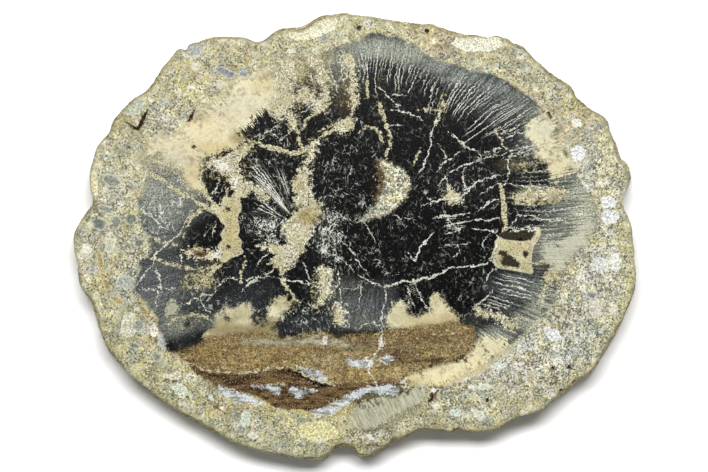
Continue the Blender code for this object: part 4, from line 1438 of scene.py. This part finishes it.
def drawn_out(lean, wide, long, detail, twist=0.0):
    """Noise whose features lean this many degrees from upright and are longer than wide, in millimetres."""
    stretched = board.node("Mapping", {
        "Vector": board.place,
        "Rotation": (0.0, 0.0, math.radians(lean)),
        "Scale": (wide * MILLIMETRE, long * MILLIMETRE, wide * MILLIMETRE),
    }, vector_type="TEXTURE").outputs[0]
    return speckle(1.0, detail=detail, place=stretched, twist=twist)


def middle_line(value, width):
    """One where the value passes through a half, and nought a little way off."""
    return fade(magnitude(minus(value, 0.5)), width * 0.3, width, 1.0, 0.0)


frost = field("frost")
clusters = fade(speckle(3.2, detail=3.0, roughness=0.6), 0.34, 0.66, -0.23, 0.21)
frost_here = plus(frost, clusters)
stroke_limit = fade(frost_here, 0.0, 1.0, 0.76, 0.62)
strokes = hairs
for lean, wide, long in STROKES:
    strokes = larger(strokes, drawn_out(lean, wide, long, 1.0))
stroke_share = fade(minus(strokes, stroke_limit), -0.02, 0.13)
specks = speckle(0.42, detail=2.5, twist=1.2, roughness=0.7)
speck_limit = fade(frost_here, 0.0, 1.0, 0.72, 0.59)
speck_share = fade(minus(specks, speck_limit), 0.0, 0.12)
frost_share = larger(speck_share, stroke_share)
frost_share = times(frost_share, frost_share)
frost_share = times(frost_share, fade(frost_here, 0.0, 0.7, 0.58, 1.0))
coarse = drawn_out(*COARSE_STROKES[0], 2.0, 0.5)
for lean, wide, long in COARSE_STROKES[1:]:
    coarse = larger(coarse, drawn_out(lean, wide, long, 2.0, 0.5))
coarse_limit = fade(frost_here, 0.25, 1.2, 0.8, 0.535)
coarse_share = fade(minus(coarse, coarse_limit), 0.0, 0.045)
coarse_share = times(coarse_share, fade(grit, 0.3, 0.6, 0.5, 1.0))
frost_share = larger(frost_share, coarse_share)
frost_paint = mix(fade(fine_grit, 0.35, 0.65), paint(112, 116, 113), paint(250, 249, 240))
wood = mix(frost_share, wood, frost_paint)
crazing = middle_line(drawn_out(*CRAZING[0], 1.0, 0.3), CRACK_LINE)
for lean, wide, long in CRAZING[1:]:
    crazing = larger(crazing, middle_line(drawn_out(lean, wide, long, 1.0, 0.3), CRACK_LINE))
crazing = times(crazing, fade(ragged, 0.46, 0.6))
crazing = times(crazing, fade(frost_here, 0.2, 0.85, 0.08, 1.0))
wood = mix(crazing, wood, paint(206, 207, 196))
wood = tinted(wood, WOOD_TINT)
gilt = field("gilt")
gilt_speck = speckle(0.9, detail=3.0, twist=0.8, roughness=0.7)
gilt_share = fade(plus(gilt_speck, times(gilt, 0.28)), 0.66, 0.74)
gilt_share = times(gilt_share, fade(gilt, 0.05, 0.3, 0.0, 0.85))
wood = mix(gilt_share, wood, mix(grit, paint(116, 104, 60), paint(206, 198, 150)))
print("frosted the wood")

# %% [markdown]
# ## Cream over the wood
#
# Each zone is laid over the last with an edge that the ragged noise breaks up, so no outline looks cut out
# with scissors. Where the melt wash is strong the edge fades over a millimetre or more instead.

# %% Lay the cream zones over the wood
def zone_share(name, wander, softness, crumbs=0.2, comb=0.0, melt=0.0):
    """How much of a zone shows. The edge wanders, crumbles, follows the grain and melts in places."""
    depth = plus(field(name), fade(ragged, 0.25, 0.75, -wander, wander))
    depth = plus(depth, fade(grit, 0.3, 0.7, -crumbs, crumbs))
    if comb:
        along_grain = times(fade(rays, 0.35, 0.65, -comb, comb), combed)
        depth = plus(depth, along_grain)
    if melt:
        broad = fade(cloudy, 0.3, 0.7, -melt, melt)
        depth = plus(depth, times(broad, field("melt")))
        softness = board.sum("MULTIPLY_ADD", field("melt"), melt, softness)
        return fade(depth, times(softness, -1.0), softness)
    return fade(depth, -softness, softness)


CREAM_TINT = (1.03, 1.09, 1.22, 1.0)
cream_paint = tinted(field("cream_colour", "Color"), CREAM_TINT)
cream_paint = shaded(cream_paint, cloudy, 0.94, 1.05)
cream_paint = shaded(cream_paint, ragged, 0.9, 1.06)
cream_paint = shaded(cream_paint, grit, 0.88, 1.08)
cream_paint = shaded(cream_paint, fine_grit, 0.92, 1.06)
stain = fade(speckle(2.2, detail=5.0, roughness=0.75), 0.5, 0.66)
stain = times(stain, fade(field("melt"), 0.2, 1.0, 0.4, 0.9))
cream_paint = mix(stain, cream_paint, mix(cloudy, paint(150, 130, 84), paint(146, 146, 136)))
cream_paint = mix(fade(fine_grit, 0.68, 0.78, 0.0, 0.6), cream_paint, paint(96, 80, 50))
stone_paint = mix(zone_share("cream", 0.8, 0.25, 0.45, 1.2, 1.3), wood, cream_paint)
margin_paint = mix(fade(fine_grit, 0.35, 0.65), paint(156, 156, 138), paint(196, 195, 173))
margin_paint = shaded(margin_paint, rays, 0.9, 1.08)
stone_paint = mix(zone_share("pale_margin", 1.2, 1.0, 0.3, 0.6, 1.0), stone_paint, margin_paint)
crumb_paint = mix(fade(grit, 0.34, 0.58), paint(140, 131, 94), paint(230, 225, 198))
crumb_paint = mix(fade(cloudy, 0.48, 0.6, 0.0, 0.55), crumb_paint, paint(190, 180, 134))
crumb_paint = shaded(crumb_paint, ragged, 0.7, 1.12)
crumb_paint = shaded(crumb_paint, fine_grit, 0.75, 1.2)
crumb_dark = fade(plus(specks, fine_grit), 1.04, 1.14, 0.0, 0.9)
crumb_paint = mix(crumb_dark, crumb_paint, paint(40, 36, 26))
crumb_white = times(frost_share, fade(frost, 0.3, 0.7, 0.3, 0.9))
crumb_paint = mix(crumb_white, crumb_paint, paint(240, 238, 226))
crumb_share = zone_share("crumbled", 1.3, 0.25, 0.7, 0.0, 1.2)
stone_paint = mix(crumb_share, stone_paint, crumb_paint)
filled_paint = mix(crumb_dark, cream_paint, paint(70, 58, 36))
stone_paint = mix(zone_share("filled", 0.6, 0.16, 0.35), stone_paint, filled_paint)
filled_rim = fade(magnitude(field("filled")), 0.1, 0.4, 0.75, 0.0)
filled_rim_paint = mix(grit, paint(120, 108, 70), paint(232, 226, 198))
stone_paint = mix(filled_rim, stone_paint, filled_rim_paint)
print("laid the cream zones")

# %% [markdown]
# ## Gold, brown and opal in the lens
#
# The gold and the brown are grainy and lie in level bands, as the gel settled. The opal strips lie over
# them. Below the right end of the lens a strip of the stone is made of parallel fibres.

# %% Gold, brown and opal in the lens
LENS_TINT = (0.9, 0.9, 0.86, 1.0)

flat_place = board.vector("MULTIPLY", board.place, (0.3, 1.0, 1.0))
banded = speckle(0.9 * MILLIMETRE, detail=3.0, place=flat_place)
gold_paint = shaded(field("lens_colour", "Color"), banded, 0.66, 1.04)
gold_paint = shaded(gold_paint, speckle(1.5, detail=4.0, roughness=0.7, twist=0.6), 0.48, 1.34)
gold_paint = shaded(gold_paint, grit, 0.5, 1.44)
gold_paint = shaded(gold_paint, fine_grit, 0.6, 1.34)
gold_patch = fade(speckle(2.0, detail=5.0, roughness=0.75, twist=0.4), 0.52, 0.6, 0.0, 0.8)
gold_paint = mix(gold_patch, gold_paint, paint(88, 66, 40))
gold_dark = board.sum("LESS_THAN", fine_green, 0.07)
gold_paint = mix(times(gold_dark, 0.75), gold_paint, paint(58, 40, 22))
gold_pale = times(fade(banded, 0.58, 0.66), fade(ragged, 0.5, 0.62, 0.0, 0.75))
gold_paint = mix(gold_pale, gold_paint, paint(214, 202, 166))
gold_paint = mix(fade(specks, 0.57, 0.66, 0.0, 0.75), gold_paint, paint(222, 206, 178))
gold_paint = tinted(gold_paint, LENS_TINT)
stone_paint = mix(zone_share("gold", 0.6, 0.4, 0.45, 0.0, 0.9), stone_paint, gold_paint)
brown_paint = mix(fade(banded, 0.38, 0.62), paint(52, 36, 20), paint(106, 86, 54))
brown_paint = shaded(brown_paint, fine_grit, 0.62, 1.3)
brown_fleck = fade(plus(grit, fine_grit), 1.12, 1.26, 0.0, 0.7)
fleck_paint = mix(ragged, paint(168, 124, 66), paint(206, 198, 180))
brown_paint = mix(brown_fleck, brown_paint, fleck_paint)
stone_paint = mix(zone_share("brown", 0.35, 0.2, 0.25), stone_paint, brown_paint)
opal_paint = mix(fade(banded, 0.4, 0.6), paint(130, 132, 124), paint(208, 215, 216))
opal_paint = mix(fade(cloudy, 0.5, 0.7, 0.0, 0.6), opal_paint, paint(178, 174, 188))
opal_paint = shaded(opal_paint, grit, 0.7, 1.15)
opal_share = times(zone_share("opal", 0.6, 0.4, 0.4), 0.9)
stone_paint = mix(opal_share, stone_paint, opal_paint)
streak_paint = mix(fade(banded, 0.35, 0.65), paint(104, 104, 78), paint(176, 178, 158))
streak_paint = shaded(streak_paint, grit, 0.8, 1.15)
streak_share = times(zone_share("streak", 0.8, 1.0), 0.55)
stone_paint = mix(streak_share, stone_paint, streak_paint)
fibres = drawn_out(28, 0.34, 4.0, 1.0)
fibre_paint = mix(fade(fibres, 0.35, 0.65), paint(145, 144, 120), paint(184, 183, 160))
fibre_paint = shaded(fibre_paint, grit, 0.85, 1.12)
stone_paint = mix(zone_share("fibrous", 0.6, 0.4, 0.3), stone_paint, fibre_paint)
print("filled the lens")

# %% [markdown]
# ## Spots, and the edge of the wood
#
# Small dark and white spots go over the wood. Then all of it is laid over the sand, inside the wood's edge.

# %% Dark and white spots, and the edge of the wood
spot_paint = shaded(paint(42, 38, 30), grit, 0.5, 1.9)
spot_paint = mix(times(crumb_white, 0.8), spot_paint, paint(150, 144, 118))
stone_paint = mix(zone_share("spots", 0.5, 0.2, 0.3), stone_paint, spot_paint)
white_spot_paint = shaded(paint(228, 226, 216), grit, 0.66, 1.08)
white_spot_share = times(zone_share("white_spots", 1.1, 0.5, 0.6), 0.75)
stone_paint = mix(white_spot_share, stone_paint, white_spot_paint)
stone_paint = mix(zone_share("wood", 0.7, 0.2, 0.4, 0.0, 0.9), sand, stone_paint)
print("laid the spots and the wood's edge")

# %% [markdown]
# ## How a line shows
#
# A line shows where the distance to it is less than its half width. The distance is shaken a little by the
# noise, so the line thickens, thins and breaks. A fan shows a line wherever its spoke count is a whole
# number, and each spoke draws lots for its width, its start and its finish.

# %% Tools that show a line
wobble = speckle(2.0, detail=2.0)


def line_share(name, shake, softness=0.07, stray=0.35):
    """How much of a line shows at a place. It strays sideways, and thickens and thins."""
    line = field(name, "Vector")
    strayed = plus(part(line, RED), fade(wobble, 0.3, 0.7, -stray, stray))
    strayed = plus(strayed, fade(grit, 0.3, 0.7, -0.12, 0.12))
    side_gap = magnitude(strayed)
    shaken = plus(side_gap, fade(ragged, 0.35, 0.65, -shake, shake))
    inside = minus(part(line, BLUE), shaken)
    share = fade(inside, -softness, softness)
    return times(share, fade(part(line, GREEN), 0.8, 0.95, 1.0, 0.0))


def fan_share():
    """How much of a spoke shows at a place: a line wherever the spoke count is a whole number."""
    fan = field("fan", "Vector")
    shake = plus(fade(ragged, 0.2, 0.8, -0.36, 0.36), fade(grit, 0.2, 0.8, -0.15, 0.15))
    count = plus(part(fan, RED), shake)
    number = board.sum("FLOOR", plus(count, 0.5))
    lots = board.node("TexWhiteNoise", {"W": number}, noise_dimensions="1D").outputs["Color"]
    drift = fade(part(lots, RED), 0.0, 1.0, -0.22, 0.22)
    off_line = magnitude(minus(minus(count, number), drift))
    gap = times(off_line, part(fan, BLUE))
    half_share = fade(part(lots, GREEN), 0.0, 1.0, 0.27, 0.56)
    half = times(field("fan_width"), half_share)
    line = fade(minus(half, gap), -0.07, 0.07)
    along = part(fan, GREEN)
    start = times(part(lots, BLUE), 0.2)
    line = times(line, fade(minus(along, start), -0.1, 0.16))
    finish = fade(part(lots, GREEN), 0.0, 1.0, 0.5, 1.05)
    line = times(line, fade(minus(finish, along), 0.0, 0.2))
    line = times(line, fade(field("fan_depth"), -0.2, 0.5))
    return times(line, fade(plus(grit, ragged), 0.7, 1.1, 0.35, 1.0))


print("the board has", len(board.nodes), "nodes so far")

# %% [markdown]
# ## Lines and pits on top
#
# The seams come first, then the fans, the tan veins and the white cracks. Off the two flat faces the stone
# shows bare sand, and the open pits are dark inside.

# %% Lay the lines on top
white_paint = mix(fade(fine_grit, 0.35, 0.6), paint(178, 178, 162), paint(246, 245, 236))
white_paint = mix(fade(cloudy, 0.4, 0.6, 0.0, 0.3), white_paint, paint(196, 190, 152))
tan_paint = mix(fade(grit, 0.35, 0.6), paint(128, 120, 82), paint(214, 209, 175))
tan_paint = mix(crumb_dark, tan_paint, paint(56, 50, 38))
in_wood = fade(field("wood"), -0.3, 0.0)
seam_share = times(line_share("dark_lines", 0.25, 0.14), 0.75)
stone_paint = mix(seam_share, stone_paint, paint(64, 48, 28))
spoke_share = times(fan_share(), in_wood)
stone_paint = mix(spoke_share, stone_paint, white_paint)
stone_paint = mix(line_share("tan_lines", 0.45, 0.16), stone_paint, tan_paint)
white_share = times(line_share("white_lines", 0.15, 0.07), fade(ragged, 0.3, 0.55, 0.4, 1.0))
stone_paint = mix(white_share, stone_paint, white_paint)
side_dirt = tinted(bare_sand, paint(250, 244, 226))
stone_paint = mix(field("face"), side_dirt, stone_paint)
stone_paint = mix(zone_share("pit", 0.4, 0.2, 0.2), stone_paint, paint(64, 44, 26))
board.join(stone_paint, board.shader.inputs["Base Color"])
print("laid the lines")

# %% [markdown]
# ## Gloss and relief
#
# Polished silica is glossier than the sandstone around it, and the rim and the sawn back are dull. The
# grains also stand out a little: strongly on the bare wall and the back, and just a trace in the polished
# sand.

# %% Gloss and relief
DULL = 0.75
SHEEN_LEVEL = 0.18
RELIEF_HEIGHT = 0.0004

shine_wood = fade(grit, 0.3, 0.7, 0.12, 0.2)
shine_sand = fade(fine_blue, 0.0, 1.0, 0.3, 0.5)
shine = board.node("Mix", {0: fade(field("wood"), -0.1, 0.1), 2: shine_sand, 3: shine_wood}).outputs[0]
roughness = board.node("Mix", {0: field("polish"), 2: DULL, 3: shine}).outputs[0]
board.join(roughness, board.shader.inputs["Roughness"])
board.shader.inputs["Specular IOR Level"].default_value = SHEEN_LEVEL
strength = fade(field("polish"), 0.0, 1.0, 0.9, 0.0)
sand_only = fade(field("wood"), -0.2, 0.1, 0.12, 0.0)
height = plus(times(coarse_gap, -1.0), times(grit, 0.5))
sockets = {"Distance": RELIEF_HEIGHT, "Strength": plus(strength, sand_only), "Height": height}
board.join(board.node("Bump", sockets).outputs[0], board.shader.inputs["Normal"])
slab.materials.append(board.material)
print("the material has", len(board.nodes), "nodes")

# %% [markdown]
# ## A white sheet
#
# The slice lies on a plain white sheet that is much wider than the picture.

# %% A white sheet to lie on
FLOOR_HALF = 1.2

floor_shape = bmesh.new()
bmesh.ops.create_grid(floor_shape, x_segments=4, y_segments=4, size=FLOOR_HALF)
floor_mesh = bpy.data.meshes.new("sheet")
floor_shape.to_mesh(floor_mesh)
floor_shape.free()
floor = bpy.data.objects.new("sheet", floor_mesh)
bpy.context.scene.collection.objects.link(floor)
floor_board = Board("white_sheet")
floor_board.shader.inputs["Base Color"].default_value = paint(253, 253, 253)
floor_board.shader.inputs["Roughness"].default_value = 0.9
floor_board.shader.inputs["Specular IOR Level"].default_value = 0.1
floor_mesh.materials.append(floor_board.material)
print("laid a sheet", 2 * FLOOR_HALF, "m wide")

# %% [markdown]
# ## Lamps and the sky
#
# A large soft lamp beyond the upper edge throws the short shadow below the slice. It is kept away from the
# place that the polished face would mirror into the lens, so the black wood stays black. A weak lamp in
# front lifts the wall. Each lamp is written as its name, its place, its two sides and its power.

# %% Lamps and the sky
LAMPS = (
    ("main_lamp", (0.0, 0.31, 0.95), 0.56, 0.22, 12.9),
    ("front_lamp", (0.0, -1.1, 0.45), 0.8, 0.3, 0.9),
)
SKY_STRENGTH = 0.14


def lamp(name, place, wide, tall, power):
    """A soft rectangular lamp that faces the slice."""
    data = bpy.data.lights.new(name, "AREA")
    data.shape = "RECTANGLE"
    data.size = wide
    data.size_y = tall
    data.energy = power
    item = bpy.data.objects.new(name, data)
    item.location = place
    item.rotation_euler = (-Vector(place)).to_track_quat("-Z", "Y").to_euler()
    bpy.context.scene.collection.objects.link(item)


for settings in LAMPS:
    lamp(*settings)
world = bpy.data.worlds.new("room")
world.use_nodes = True
world.node_tree.nodes["Background"].inputs["Color"].default_value = (1.0, 1.0, 1.0, 1.0)
world.node_tree.nodes["Background"].inputs["Strength"].default_value = SKY_STRENGTH
bpy.context.scene.world = world
bpy.context.scene.view_settings.view_transform = "Standard"
print("lit by", len(LAMPS), "lamps and a pale sky")

# %% [markdown]
# ## The camera
#
# The camera looks straight down from a metre above the polished face. Its lens is chosen so that one pixel
# of the picture covers as much of the slab as one pixel of the photograph does.

# %% The camera, straight above
IMAGE_WIDTH = 708
IMAGE_HEIGHT = 472
SENSOR = 36.0
CAMERA_DISTANCE = 1.0

view_centre = places((IMAGE_WIDTH / 2, IMAGE_HEIGHT / 2)) * MILLIMETRE
camera_data = bpy.data.cameras.new("camera")
camera_data.sensor_width = SENSOR
camera_data.lens = SENSOR * CAMERA_DISTANCE / (IMAGE_WIDTH * PIXEL * MILLIMETRE)
camera = bpy.data.objects.new("camera", camera_data)
camera.location = (view_centre[0], view_centre[1], THICKNESS + CAMERA_DISTANCE)
bpy.context.scene.collection.objects.link(camera)
bpy.context.scene.camera = camera
print("the lens is", round(camera_data.lens, 1), "mm")
